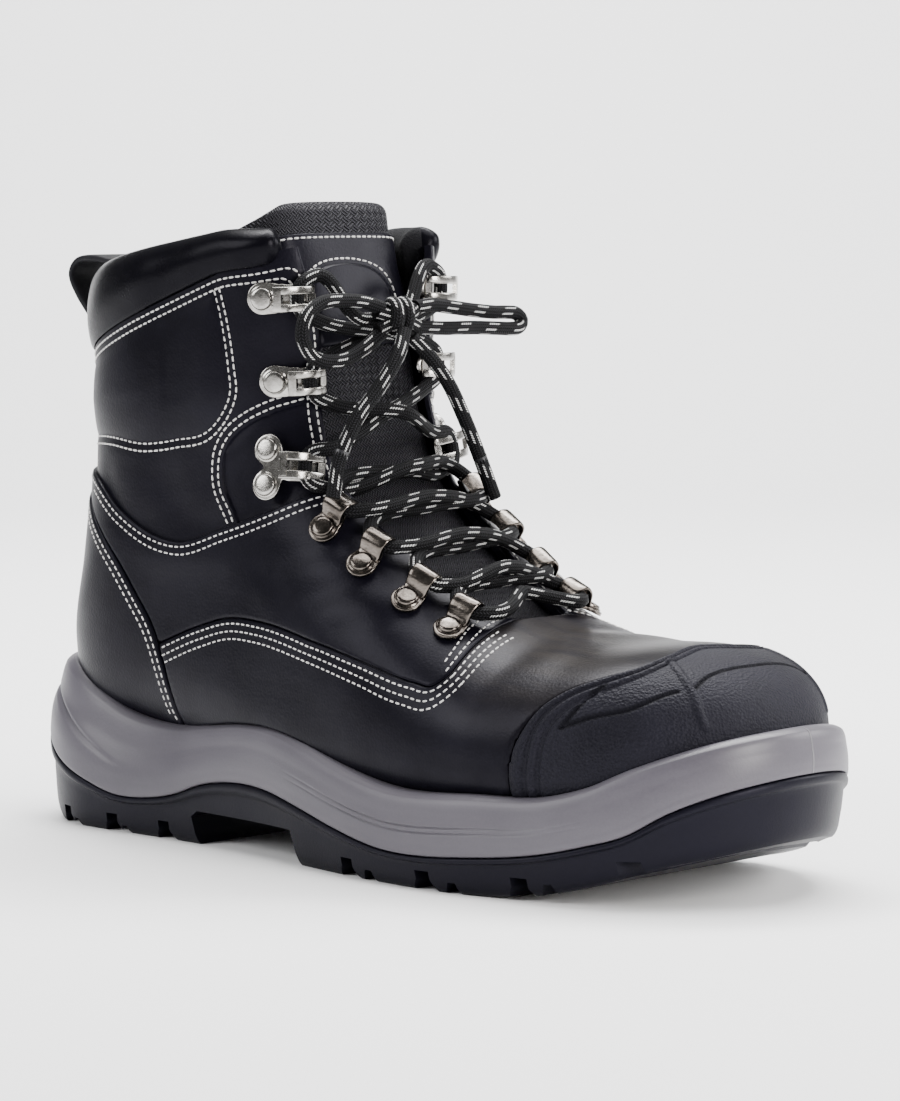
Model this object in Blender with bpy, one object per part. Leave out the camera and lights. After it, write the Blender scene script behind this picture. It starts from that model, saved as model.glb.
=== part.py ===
"""Black lace-up cold storage boot, right foot, toe along +X, outer side along -Y, standing on Z = 0.

The upper is a lofted form: a fan of sections from the toe round to the collar. The shell, the overlays,
the tongue, the collar and the sole's cup are all cut from that one form at different offsets.
"""

import math

import bmesh
import bpy
import numpy as np

MM = 0.001  # sizes below are in millimetres, and the scene is in metres

# Thicknesses and clearances
WALL = 2.6
GAP = 0.3
PANEL = 1.2
VAMP = 1.5
CAP = 2.5
COUNTER = 1.7
LACE = 5.0

# Rows of the form where pieces begin and end
SHELL_TOP = 15.85
RIM = 17.0
LAST_ROW = 18.0
ROWS = (0.03, 0.35, 0.85, 1.5, 2.3, 3.3, 4.3, 5.2, 6.1, 7.0, 7.9, 8.8, 9.7, 10.6, 11.4, 12.3, 13.7,
        SHELL_TOP, RIM, LAST_ROW)
AROUND = 10

# Sections of the form from the toe to above the collar, each from its bottom or back to its top or front
# bottom_x bottom_z top_x top_z half_width widest low_power high_power centre ridge
SECTIONS = np.array([
    (142.0, 43.0, 142.0, 46.0, 1.5, 0.50, 2.2, 2.2, 3.0, 0.0),
    (137.0, 32.5, 136.5, 59.0, 21.5, 0.48, 2.6, 2.4, 3.0, 0.0),
    (125.0, 28.0, 124.0, 67.0, 37.0, 0.44, 3.0, 2.6, 3.0, 0.5),
    (107.0, 25.5, 106.0, 70.5, 46.5, 0.40, 3.4, 2.7, 2.5, 1.0),
    (86.0, 24.0, 84.0, 70.5, 50.5, 0.36, 3.6, 2.5, 1.0, 2.0),
    (62.0, 23.5, 60.0, 73.0, 51.0, 0.33, 3.6, 2.4, -0.5, 3.0),
    (36.0, 23.5, 38.0, 80.0, 49.5, 0.30, 3.6, 2.7, -2.0, 3.5),
    (6.0, 24.5, 17.0, 93.5, 46.5, 0.28, 3.5, 3.3, -2.5, 3.5),
    (-26.0, 26.5, -2.0, 108.0, 43.5, 0.28, 3.4, 3.8, -2.0, 3.0),
    (-62.0, 29.0, -13.0, 122.5, 41.0, 0.32, 3.2, 4.0, -1.0, 2.5),
    (-98.0, 30.5, -18.0, 137.0, 40.0, 0.38, 3.0, 4.1, 0.0, 2.0),
    (-128.0, 33.0, -20.0, 149.0, 40.0, 0.42, 2.7, 4.2, 0.0, 1.5),
    (-138.8, 52.0, -20.0, 159.0, 40.5, 0.44, 2.4, 4.2, 0.0, 1.0),
    (-135.5, 78.0, -20.0, 168.5, 41.0, 0.46, 2.3, 4.3, 0.0, 0.5),
    (-131.8, 104.0, -20.5, 177.0, 41.5, 0.48, 2.3, 4.4, 0.0, 0.0),
    (-131.0, 130.0, -21.0, 185.0, 42.0, 0.50, 2.3, 4.4, 0.0, 0.0),
    (-131.5, 156.0, -22.0, 192.5, 42.5, 0.50, 2.3, 4.5, 0.0, 0.0),
    (-129.0, 181.0, -23.0, 199.0, 42.5, 0.50, 2.3, 4.5, 0.0, 0.0),
    (-127.0, 206.0, -24.0, 215.0, 42.5, 0.50, 2.3, 4.5, 0.0, 0.0),
])

# Half of the throat's width, by row
THROAT = np.array([
    (5.50, 5.0), (5.60, 11.0), (5.85, 15.5), (6.4, 17.5), (7.2, 20.5), (8.2, 24.5), (8.9, 26.0), (10.0, 25.5),
    (12.0, 24.5), (14.0, 27.0), (15.5, 30.0), (17.0, 32.0), (18.0, 33.0)])

# Tongue: row, share of its edges, depth of its face under the form, thickness, fall of the row at its edges
TONGUE = np.array([
    (5.15, 0.90, 3.6, 2.0, 0.0), (5.6, 0.81, 3.6, 3.0, 0.0), (6.3, 0.75, 3.6, 3.5, 0.0),
    (7.2, 0.73, 4.2, 4.0, 0.0), (8.2, 0.71, 4.8, 4.5, 0.0), (9.2, 0.70, 5.2, 5.0, 0.0),
    (10.4, 0.70, 5.6, 5.5, 0.0), (12.0, 0.69, 7.0, 6.0, 0.0), (13.6, 0.66, 9.0, 6.5, 0.0),
    (14.8, 0.59, 11.4, 6.5, 0.0), (15.9, 0.52, 12.4, 6.5, 0.0), (16.7, 0.49, 12.8, 6.0, 0.0),
    (17.2, 0.49, 13.2, 5.0, 0.06), (17.45, 0.52, 14.2, 3.0, 0.10)])

# Plan of the sole: x, centre, half of the width before the ends are rounded
PLAN = np.array([
    (-155.0, 0.0, 42.0), (-110.0, 0.0, 43.0), (-70.0, -1.5, 42.0), (-30.0, -3.5, 44.5), (0.0, -4.0, 50.0),
    (30.0, -3.5, 55.0), (60.0, -2.0, 57.0), (90.0, 0.5, 55.5), (120.0, 2.0, 53.0), (153.0, 2.0, 51.0)])
HEEL_END, TOE_END = -155.0, 153.0
HEEL_ROUND, TOE_ROUND = 43.0, 60.0
HEEL_POWER, TOE_POWER = 2.0, 2.1
STATIONS = 24

# Heights along the sole: x, top edge, side parting, parting under the foot, tread
HEIGHTS = np.array([
    (-155.0, 54.0, 32.0, 12.5, 5.5), (-146.0, 54.0, 31.0, 12.5, 2.0), (-135.0, 53.0, 25.0, 12.5, 0.0),
    (-113.0, 45.5, 16.6, 12.5, 0.0), (-98.0, 39.5, 12.8, 12.3, 0.0), (-84.0, 37.2, 13.0, 12.6, 0.0),
    (-70.0, 37.2, 15.4, 14.8, 0.0), (-56.0, 39.0, 20.0, 18.5, 0.0), (-40.0, 41.0, 22.4, 21.2, 0.0),
    (-24.0, 41.2, 22.2, 21.0, 0.0), (-6.0, 38.2, 19.2, 18.4, 0.0), (14.0, 33.2, 14.8, 14.2, 0.0),
    (36.0, 29.2, 11.0, 10.6, 0.0), (70.0, 30.0, 11.8, 10.8, 0.0), (98.0, 32.0, 15.5, 12.6, 3.0),
    (110.0, 35.4, 18.5, 14.4, 5.8), (121.0, 40.6, 22.0, 16.6, 9.2), (132.0, 45.0, 29.0, 19.2, 12.8),
    (143.0, 49.0, 34.5, 22.0, 15.6), (153.0, 52.0, 38.6, 24.0, 18.5)])
TOP, PARTING, UNDER, TREAD = 1, 2, 3, 4

# Bands of the sole's side from the top edge down: share of the height, inset at the heel and at the forefoot
MIDSOLE_BANDS = ((1.0, 7.5, 3.6), (0.93, 5.8, 2.0), (0.62, 3.6, 0.6), (0.56, 2.0, 0.4), (0.24, 0.5, 0.0),
                 (0.18, 1.1, 0.8), (0.12, 0.3, 0.0), (0.0, 0.0, 0.4))
OUTSOLE_BANDS = ((1.0, 0.5, 0.5), (0.86, 0.0, 0.0), (0.80, 1.2, 1.2), (0.25, 2.2, 2.6), (0.0, 4.5, 5.0))
RIM_WIDTH = 5.0

# Waist between the heel and the forefoot, in side view
BREAST_LOW, BREAST_HIGH, FORE_HIGH, FORE_LOW = -59.0, -62.0, -10.0, -5.0
WAIST_HEIGHT = 11.0
# Chevron grooves of the tread: x at the edge, sweep towards the middle, width, depth
GROOVES = ((-130.0, 10.0, 5.0, 6.0), (-105.0, 10.0, 5.0, 6.0), (-80.0, 10.0, 5.0, 6.0), (12.0, 16.0, 5.5, 6.0),
           (46.0, 16.0, 5.5, 6.0), (80.0, 16.0, 5.5, 6.5), (112.0, 14.0, 5.5, 8.0))


def along(rows, at):
    """Smooth values of a table's columns at fractional row numbers."""
    rows, at = np.asarray(rows, float), np.atleast_1d(np.asarray(at, float))
    slopes = np.gradient(rows, axis=0)
    low = np.clip(np.floor(at).astype(int), 0, len(rows) - 2)
    f = (at - low)[:, None]
    start, end = (1 + 2 * f) * (1 - f) ** 2, f * f * (3 - 2 * f)
    tangents = f * (1 - f) ** 2 * slopes[low] + f * f * (f - 1) * slopes[low + 1]
    return start * rows[low] + end * rows[low + 1] + tangents


def curve(table, x, column=1):
    """Smooth value of one column of a table at x, where the first column holds x."""
    key, value = table[:, 0], table[:, column]
    slopes = np.gradient(value, key)
    i = np.clip(np.searchsorted(key, x, side="right") - 1, 0, len(key) - 2)
    width = key[i + 1] - key[i]
    f = np.clip((x - key[i]) / width, 0, 1)
    start, end = (1 + 2 * f) * (1 - f) ** 2, f * f * (3 - 2 * f)
    tangents = f * (1 - f) ** 2 * slopes[i] + f * f * (f - 1) * slopes[i + 1]
    return start * value[i] + end * value[i + 1] + width * tangents


def half_section(row, share):
    """Height share and half width at even shares of the way from the bottom point to the top point."""
    bottom_x, bottom_z, top_x, top_z, half_width, widest, low_power, high_power = row[:8]
    angle = np.linspace(0, math.pi, 161)
    low = angle <= math.pi / 2
    power = np.where(low, low_power, high_power)
    reach = np.where(low, widest, 1 - widest)
    height = widest - np.sign(np.cos(angle)) * reach * np.abs(np.cos(angle)) ** (2 / power)
    half = half_width * np.abs(np.sin(angle)) ** (2 / power)
    scale = math.hypot(top_x - bottom_x, top_z - bottom_z)
    run = np.concatenate([[0], np.cumsum(np.hypot(np.diff(height) * scale, np.diff(half)))])
    return np.interp(share * run[-1], run, height), np.interp(share * run[-1], run, half)


def form_rows(at, share):
    """Points of the form at each row and signed share: negative on the outer side, positive on the inner."""
    share = np.asarray(share, float)
    grid = np.empty((len(at), len(share), 3))
    for i, row in enumerate(along(SECTIONS, at)):
        height, half = half_section(row, np.abs(share))
        grid[i, :, 0] = row[0] + height * (row[2] - row[0])
        grid[i, :, 1] = row[8] + row[9] * height ** 2 + np.sign(share) * half
        grid[i, :, 2] = row[1] + height * (row[3] - row[1])
    return grid


def form(at, share, offset=0.0):
    """Points of the form moved out along its normals. The offset may be one number or one for each point."""
    at, share = np.asarray(at, float), np.asarray(share, float)
    step = 0.01
    grid = form_rows(at, share)
    ahead, behind = (form_rows(np.clip(at + way * step, 0, LAST_ROW), share) for way in (1, -1))
    by_row = ahead - behind
    around = form_rows(at, share + step) - form_rows(at, share - step)
    normal = np.cross(by_row, around)
    normal /= np.linalg.norm(normal, axis=2)[:, :, None]
    return grid + np.asarray(offset)[..., None] * normal


def ring_shares(count):
    """Signed shares once round a section: up the outer side, then down the inner side."""
    edge = 0.012
    up = np.linspace(edge, 1 - edge, count)
    return np.concatenate([-up, up[::-1]])


def make(name, points, faces, colour=None, roughness=0.6, metallic=0.0):
    """An object from points in millimetres. With no colour it is a hidden cutter."""
    mesh = bpy.data.meshes.new(name)
    places = [tuple(p) for p in np.asarray(points) * MM]
    mesh.from_pydata(places, [], [tuple(int(i) for i in f) for f in faces])
    bm = bmesh.new()
    bm.from_mesh(mesh)
    bmesh.ops.recalc_face_normals(bm, faces=bm.faces)
    if bm.calc_volume(signed=True) < 0:
        bmesh.ops.reverse_faces(bm, faces=bm.faces)
    bm.to_mesh(mesh)
    bm.free()
    mesh.shade_smooth()
    mesh.set_sharp_from_angle(angle=math.radians(35))
    return finish(bpy.data.objects.new(name, mesh), colour, roughness, metallic)


def finish(obj, colour, roughness, metallic=0.0):
    """Puts an object in the scene, with its material or as a hidden cutter."""
    bpy.context.scene.collection.objects.link(obj)
    if colour is None:
        obj.hide_render = True
        obj.display_type = "WIRE"
        return obj
    material = bpy.data.materials.new(obj.name)
    material.use_nodes = True
    shader = material.node_tree.nodes["Principled BSDF"]
    shader.inputs["Base Color"].default_value = (*colour, 1)
    shader.inputs["Roughness"].default_value = roughness
    shader.inputs["Metallic"].default_value = metallic
    material.diffuse_color = (*colour, 1)
    obj.data.materials.append(material)
    return obj


def combine(obj, other, operation):
    modifier = obj.modifiers.new(f"{operation} {other.name}", "BOOLEAN")
    modifier.operation = operation
    modifier.object = other
    modifier.solver = "EXACT"


def loft(rings, closed=False):
    """Points and faces of a skin over rings of equal length, capped unless closed. All quads split one way."""
    rings = [np.asarray(r, float) for r in rings]
    count, around = len(rings), len(rings[0])
    faces = []
    for i in range(count if closed else count - 1):
        a, b = i * around, (i + 1) % count * around
        for j in range(around):
            k = (j + 1) % around
            faces += [(a + j, a + k, b + k), (a + j, b + k, b + j)]
    if not closed:
        faces += [tuple(range(around))[::-1], tuple(range((count - 1) * around, count * around))]
    return np.vstack(rings), faces


def form_solid(name, offset, last, colour=None, **look):
    """The whole form as a closed solid up to the last row. All share their rows, so facets run parallel."""
    points, faces = loft(form([row for row in ROWS if row <= last], ring_shares(AROUND), offset))
    return make(name, points, faces, colour, **look)


def side_prism(name, outline, reach=90.0, near=None):
    """A cutter: an outline of x and z pairs, run across the boot."""
    near = -reach if near is None else near
    outline = np.asarray(outline, float)
    rings = []
    for y in (near, reach):
        rings.append(np.column_stack([outline[:, 0], np.full(len(outline), y), outline[:, 1]]))
    return make(name, *loft(rings))


def plan_prism(name, outline, low, high):
    """A cutter: an outline of x and y pairs, run up."""
    outline = np.asarray(outline, float)
    rings = [np.column_stack([outline, np.full(len(outline), z)]) for z in (low, high)]
    return make(name, *loft(rings))


def throat_cutter(name, extra):
    """The throat's slot, wider by extra on each side."""
    rings = []
    for row, half in zip(THROAT[:, 0], THROAT[:, 1]):
        bottom_x, bottom_z, top_x, top_z, *_, centre, ridge = along(SECTIONS, row)[0]
        up = np.array([top_x - bottom_x, 0, top_z - bottom_z])
        up /= np.linalg.norm(up)
        top = np.array([top_x, centre + ridge, top_z])
        across = np.array([0, half + extra, 0])
        low, high = top - 16 * up, top + 14 * up
        rings.append([low - across, high - across, high + across, low + across])
    return make(name, *loft(rings))


def sole_ring(inset, height):
    """The sole's outline at the stations, moved in by inset and set at height, each given by x."""
    turn = np.linspace(0, math.pi, STATIONS + 1)
    x = (HEEL_END + TOE_END) / 2 - (TOE_END - HEEL_END) / 2 * np.cos(turn)
    heel = np.clip((HEEL_END + HEEL_ROUND - x) / HEEL_ROUND, 0, 1)
    toe = np.clip((x - TOE_END + TOE_ROUND) / TOE_ROUND, 0, 1)
    rounding = (1 - heel ** HEEL_POWER) ** (1 / HEEL_POWER) * (1 - toe ** TOE_POWER) ** (1 / TOE_POWER)
    half = curve(PLAN, x, 2) * rounding
    mid = curve(PLAN, x, 1)
    outer, inner = np.column_stack([x, mid - half]), np.column_stack([x, mid + half])
    ring = np.vstack([outer, inner[-2:0:-1]])
    tangent = np.roll(ring, -1, axis=0) - np.roll(ring, 1, axis=0)
    normal = np.column_stack([tangent[:, 1], -tangent[:, 0]])
    normal /= np.linalg.norm(normal, axis=1)[:, None]
    moved = ring - normal * np.broadcast_to(inset(ring[:, 0]), len(ring))[:, None]
    return np.column_stack([moved, height(ring[:, 0])])


def sole_solid(name, rings, colour=None, **look):
    """A skin over sole rings, closed by strips from the outer side to the inner side."""
    points, faces = loft(rings)
    faces = faces[:-2]
    for start in (0, (len(rings) - 1) * 2 * STATIONS):
        inner = [2 * STATIONS - i for i in range(STATIONS + 1)]
        faces.append((start, start + 1, start + inner[1]))
        for i in range(1, STATIONS - 1):
            faces.append((start + i, start + i + 1, start + inner[i + 1], start + inner[i]))
        faces.append((start + STATIONS - 1, start + STATIONS, start + inner[STATIONS - 1]))
    return make(name, points, faces, colour, **look)


def fore_share(x):
    """0 at the heel and 1 at the forefoot, smooth between."""
    f = np.clip((x + 95) / 75, 0, 1)
    return f * f * (3 - 2 * f)


def band_rings(bands, upper, lower, lift=0.0, grow=0.0):
    """Rings of a sole's side between two lines of HEIGHTS."""
    rings = []
    for share, heel, fore in bands:
        rings.append(sole_ring(
            lambda x: heel + (fore - heel) * fore_share(x) - grow,
            lambda x: lift + share * curve(HEIGHTS, x, upper) + (1 - share) * curve(HEIGHTS, x, lower)))
    return rings


def midsole_rings(lift, grow):
    """The grey cup before the foot's hollow: its side, then a step down to the parting under the foot."""
    rings = band_rings(MIDSOLE_BANDS, TOP, PARTING, lift, grow)
    rings.append(sole_ring(lambda x: RIM_WIDTH + GAP, lambda x: curve(HEIGHTS, x, PARTING) + lift))
    rings.append(sole_ring(lambda x: RIM_WIDTH + 2 * GAP, lambda x: curve(HEIGHTS, x, UNDER) + lift))
    return rings


def tube(path, radius, sides=5):
    """Points and faces of a round cord along a path."""
    path = np.asarray(path, float)
    tangent = np.gradient(path, axis=0)
    tangent /= np.linalg.norm(tangent, axis=1)[:, None]
    side = np.cross(tangent[0], (0.0, 0.0, 1.0) if abs(tangent[0][2]) < 0.9 else (1.0, 0.0, 0.0))
    rings = []
    for point, way in zip(path, tangent):
        side = side - way * side.dot(way)
        side /= np.linalg.norm(side)
        other = np.cross(way, side)
        turn = [2 * math.pi * k / sides for k in range(sides)]
        rings.append([point + radius * (math.cos(a) * side + math.sin(a) * other) for a in turn])
    return loft(rings)


def smooth_path(points, count):
    """A smooth path through a few points."""
    return along(points, np.linspace(0, len(points) - 1, count))


def extrude(outline, width):
    """A strip: an outline in the plane of reach and rise, as wide as given."""
    outline = np.asarray(outline, float)
    rings = []
    for across in (-width / 2, width / 2):
        rings.append(np.column_stack([outline[:, 0], np.full(len(outline), across), outline[:, 1]]))
    return loft(rings)


def disc(centre, radius, low, high, sides=8):
    turn = np.arange(sides) * 2 * math.pi / sides
    x, y = centre[0] + radius * np.cos(turn), centre[1] + radius * np.sin(turn)
    return loft([np.column_stack([x, y, np.full(sides, z)]) for z in (low, high)])


def band(middle, thickness):
    """A strip's outline from its middle line, thickened to both sides."""
    middle = np.asarray(middle, float)
    way = np.gradient(middle, axis=0)
    way /= np.linalg.norm(way, axis=1)[:, None]
    side = np.column_stack([-way[:, 1], way[:, 0]]) * thickness / 2
    return np.vstack([middle + side, (middle - side)[::-1]])


BLACK = (0.018, 0.018, 0.021)
GREY = (0.15, 0.145, 0.155)
RUBBER = (0.024, 0.024, 0.028)
NICKEL = (0.62, 0.60, 0.57)
BRONZE = (0.20, 0.17, 0.15)
LACE_BLACK = (0.02, 0.02, 0.02)


def build_sole():
    midsole = sole_solid("midsole", midsole_rings(0.0, 0.0), GREY, roughness=0.55)
    combine(midsole, form_solid("cup_cutter", GAP, RIM), "DIFFERENCE")
    rings = [sole_ring(lambda x: RIM_WIDTH + 0 * x, lambda x: curve(HEIGHTS, x, UNDER) - GAP),
             sole_ring(lambda x: RIM_WIDTH - 0.2 + 0 * x, lambda x: curve(HEIGHTS, x, PARTING) - GAP)]
    rings += band_rings(OUTSOLE_BANDS, PARTING, TREAD, -GAP, 0.0)[:-1]
    rings.append(sole_ring(
        lambda x: 4.5 + 0.5 * fore_share(x),
        lambda x: np.maximum(curve(HEIGHTS, x, TREAD), 0.0)))
    outsole = sole_solid("outsole", rings, RUBBER, roughness=0.6)
    waist = ((BREAST_LOW, -5.0), (BREAST_HIGH, WAIST_HEIGHT - 2), (BREAST_HIGH + 3, WAIST_HEIGHT),
             (FORE_HIGH, WAIST_HEIGHT), (FORE_LOW, -5.0))
    combine(outsole, side_prism("waist_cutter", waist), "DIFFERENCE")
    points, faces = [], []
    for x, sweep, width, depth in GROOVES:
        low = curve(HEIGHTS, x, TREAD) - 4.0
        high = curve(HEIGHTS, x, TREAD) + depth
        ahead = x + width
        outline = [(x, -75.0), (ahead, -75.0), (ahead + sweep, 0.0), (ahead, 75.0), (x, 75.0), (x + sweep, 0.0)]
        more, more_faces = loft([[(*p, z) for p in outline] for z in (low, high)])
        faces += [tuple(i + 12 * len(points) for i in f) for f in more_faces]
        points.append(more)
    combine(outsole, make("groove_cutter", np.vstack(points), faces), "DIFFERENCE")


# Edges of the panels, x and z in side view
WAVE = ((-150.0, 118.0), (-125.0, 117.5), (-111.0, 114.2), (-95.6, 105.2), (-81.6, 98.6), (-69.6, 96.6),
        (-51.0, 101.5), (-29.4, 108.5), (-16.2, 113.7), (10.0, 121.0))
COUNTER_EDGE = ((-150.0, 113.0), (-122.0, 109.0), (-107.5, 98.5), (-97.0, 89.0), (-89.0, 79.0), (-81.5, 69.0),
                (-76.0, 57.0), (-72.5, 46.0), (-70.5, 30.0))
TRIPLE = ((-78.0, 63.0), (-60.0, 69.5), (-44.0, 73.5), (-30.0, 73.4), (-3.0, 69.3), (19.4, 64.6), (40.0, 59.8),
          (49.0, 59.4), (51.0, 64.0), (50.0, 71.0), (46.5, 78.0), (44.0, 90.0))
# Edge of the scuff cap, x and y in plan
CAP_EDGE = ((77.5, -60.0), (79.0, -52.0), (81.5, -50.2), (85.0, -48.2), (90.5, -43.5), (97.0, -39.0),
            (103.7, -34.5), (110.2, -26.6), (111.7, -16.7), (108.8, -2.4))


def build_upper():
    upper = form_solid("upper", 0.0, SHELL_TOP, BLACK, roughness=0.45)
    combine(upper, form_solid("hollow_cutter", -WALL, LAST_ROW), "DIFFERENCE")
    combine(upper, throat_cutter("throat_cutter", 0.0), "DIFFERENCE")
    rows = along(SECTIONS, np.arange(1, 12))
    floor = [(r[0], r[1]) for r in rows]
    under = [(160.0, 0.0), (160.0, 42.0), (145.0, 40.0)] + [(x, z + 5.0) for x, z in floor]
    combine(upper, side_prism("under_cutter", under + [(-150.0, 40.0), (-150.0, 0.0)]), "DIFFERENCE")

    insole = form_solid("insole", -WALL - GAP, RIM, (0.05, 0.05, 0.055), roughness=0.9)
    insole.location.z = -WALL * MM
    bed = [(160.0, 0.0), (160.0, 38.5), (145.0, 37.5)] + [(x, z + 4.8) for x, z in floor]
    combine(insole, side_prism("bed_cutter", bed + [(-150.0, 38.5), (-150.0, 0.0)]), "INTERSECT")

    sole = sole_solid("sole_cutter", midsole_rings(GAP, GAP))
    throat = throat_cutter("wide_throat_cutter", 0.0)

    cap = form_solid("scuff_cap", GAP + CAP, 6.1, (0.035, 0.036, 0.042), roughness=0.7)
    combine(cap, form_solid("cap_core_cutter", GAP, 7.0), "DIFFERENCE")
    edge = list(CAP_EDGE) + [(x, -y) for x, y in CAP_EDGE[::-1]]
    combine(cap, plan_prism("cap_cutter", edge + [(170.0, 60.0), (170.0, -60.0)], 0.0, 110.0), "INTERSECT")
    combine(cap, sole, "DIFFERENCE")

    counter = form_solid("heel_counter", GAP + COUNTER, SHELL_TOP, BLACK, roughness=0.45)
    combine(counter, form_solid("counter_core_cutter", GAP, LAST_ROW), "DIFFERENCE")
    behind = COUNTER_EDGE + ((-160.0, 30.0), (-160.0, 113.0))
    combine(counter, side_prism("counter_cutter", behind), "INTERSECT")
    combine(counter, sole, "DIFFERENCE")

    vamp = form_solid("vamp_panel", GAP + VAMP, SHELL_TOP, BLACK, roughness=0.4)
    combine(vamp, form_solid("vamp_core_cutter", GAP, LAST_ROW), "DIFFERENCE")
    below = TRIPLE + ((160.0, 90.0), (160.0, 20.0), (-69.8, 20.0), (-70.0, 30.0), (-72.0, 46.0), (-75.4, 57.0))
    combine(vamp, side_prism("vamp_cutter", below), "INTERSECT")
    front = [(x - GAP, y) for x, y in edge] + [(170.0, 60.0), (170.0, -60.0)]
    combine(vamp, plan_prism("vamp_front_cutter", front, 0.0, 110.0), "DIFFERENCE")
    combine(vamp, sole, "DIFFERENCE")
    combine(vamp, throat, "DIFFERENCE")

    above = [(x, z + GAP) for x, z in TRIPLE[:7]]
    above += [(49.2, 59.8), (50.6, 64.2), (49.6, 71.0), (46.1, 78.0), (43.6, 90.0), (43.0, 125.0)]
    above.append((10.0, 121.0))
    behind = [(-121.8, 109.4), (-107.2, 98.8), (-96.7, 89.3), (-88.7, 79.3), (-81.2, 69.2), (-78.4, 63.2)]
    outline = above + list(WAVE[-2:1:-1]) + behind
    for name, near, reach in (("outer_quarter", -90.0, -0.5), ("inner_quarter", 0.5, 90.0)):
        quarter = form_solid(name, GAP + PANEL, SHELL_TOP, BLACK, roughness=0.45)
        combine(quarter, form_solid(f"{name}_core_cutter", GAP, LAST_ROW), "DIFFERENCE")
        combine(quarter, side_prism(f"{name}_cutter", outline, reach, near), "INTERSECT")
        combine(quarter, throat, "DIFFERENCE")


def build_collar():
    """A padded roll on the shell's top edge, from one side of the throat round the back to the other."""
    # share of the way up from the shell's edge to the rim, and offset from the form
    outline = ((0.0, 0.6), (0.22, 2.0), (0.55, 2.6), (0.82, 1.8), (1.0, -1.4), (1.02, -5.0), (0.86, -8.6),
               (0.5, -10.4), (0.0, -9.6), (-0.5, -7.0), (-0.72, -4.6), (-0.7, -WALL - 3 * GAP),
               (0.13, -WALL - 3 * GAP))
    shares = sorted(share for share in ring_shares(AROUND) if abs(share) < 0.8)
    rings = []
    for share in shares:
        low = form([SHELL_TOP], [share])[0, 0]
        pitch = np.linalg.norm(form([SHELL_TOP + 0.1], [share])[0, 0] - low) / 0.1
        first = SHELL_TOP + GAP / pitch
        rows = [first + k * (RIM - first) for k, _ in outline]
        rings.append([form([r], [share], o)[0, 0] for r, (_, o) in zip(rows, outline)])
    make("padded_collar", *loft(rings), BLACK, roughness=0.45)


def build_tongue():
    rings = []
    for row, edge, depth, thick, fall in TONGUE:
        shares = np.concatenate([-np.linspace(edge, 0.99, 5), np.linspace(0.99, edge, 5)])
        rows = row - fall * ((1 - np.abs(shares)) / (1 - edge)) ** 2
        face = [form([r], [share], -depth)[0, 0] for r, share in zip(rows, shares)]
        back = [form([r], [share], -depth - thick)[0, 0] for r, share in zip(rows[1:-1], shares[1:-1])]
        rings.append(np.vstack([face, back[::-1]]))
    make("tongue", *loft(rings), (0.022, 0.022, 0.024), roughness=0.85)


def build_pull_loop():
    width, thick = 21.0, 2.4
    middle = np.array([(-133.1, 149.5), (-135.4, 157.0), (-141.5, 164.5), (-149.5, 173.5), (-152.8, 180.0),
                       (-149.5, 184.6), (-142.0, 185.4), (-134.0, 184.4), (-126.5, 182.9)])
    points, faces = extrude(band(smooth_path(middle, 17), thick), width)
    make("pull_loop", points, faces, BLACK, roughness=0.7)


def hardware_frame(name, row, share, stand):
    """Where a piece of lace hardware sits: its rivet's point, the outward and the forward way, and the fall of
    the leather ahead. Those of the inner side sit nearer to the throat."""
    if share > 0:
        share += INNER_SHIFT
        stand = INNER_LOCK_STAND if name == "lock_hook" else stand
    ahead_shares = share + math.copysign(1, share) * np.linspace(0, 0.16, 9)
    trail = form([row], ahead_shares, stand)[0]
    point = trail[0]
    normal = form([row], [share], stand + 1.0)[0, 0] - point
    ahead = form([row], ahead_shares[:1] * 1.01, stand)[0, 0] - point
    if name.endswith("hook"):
        ahead[2] = 0.0
    ahead -= normal * ahead.dot(normal)
    ahead /= np.linalg.norm(ahead)
    return point, normal, ahead, (trail - point) @ ahead, (trail - point) @ normal


def place(points, frame):
    """Points of local reach, width and rise, set on the leather and bent with its fall."""
    point, normal, ahead, reach, fall = frame
    across = np.cross(normal, ahead)
    rise = [n + np.interp(u, reach, fall) for u, _, n in points]
    return np.array([point + ahead * u + across * v + normal * n for (u, v, _), n in zip(points, rise)])


def fuse(name, solids, frame, colour, **look):
    first, *rest = [(place(points, frame), faces) for points, faces in solids]
    obj = make(name, *first, colour, **look)
    for i, (points, faces) in enumerate(rest):
        combine(obj, make(f"{name}_joiner_{i}", points, faces), "UNION")


# Lace hardware from the bottom row up: name, row, share on the outer side, stand-off of its frame
HARDWARE = (
    ("lace_loop_1", 5.90, 0.748, 2.4), ("lace_loop_2", 6.62, 0.745, 2.1), ("lace_loop_3", 7.42, 0.745, 2.1),
    ("lace_loop_4", 8.26, 0.750, 2.1), ("lock_hook", 10.00, 0.752, 2.5), ("middle_hook", 11.96, 0.80, 0.4),
    ("top_hook", 14.52, 0.757, 0.4))
SIDES = ((-1.0, "outer"), (1.0, "inner"))
INNER_SHIFT = 0.03
INNER_LOCK_STAND = 0.5


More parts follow.
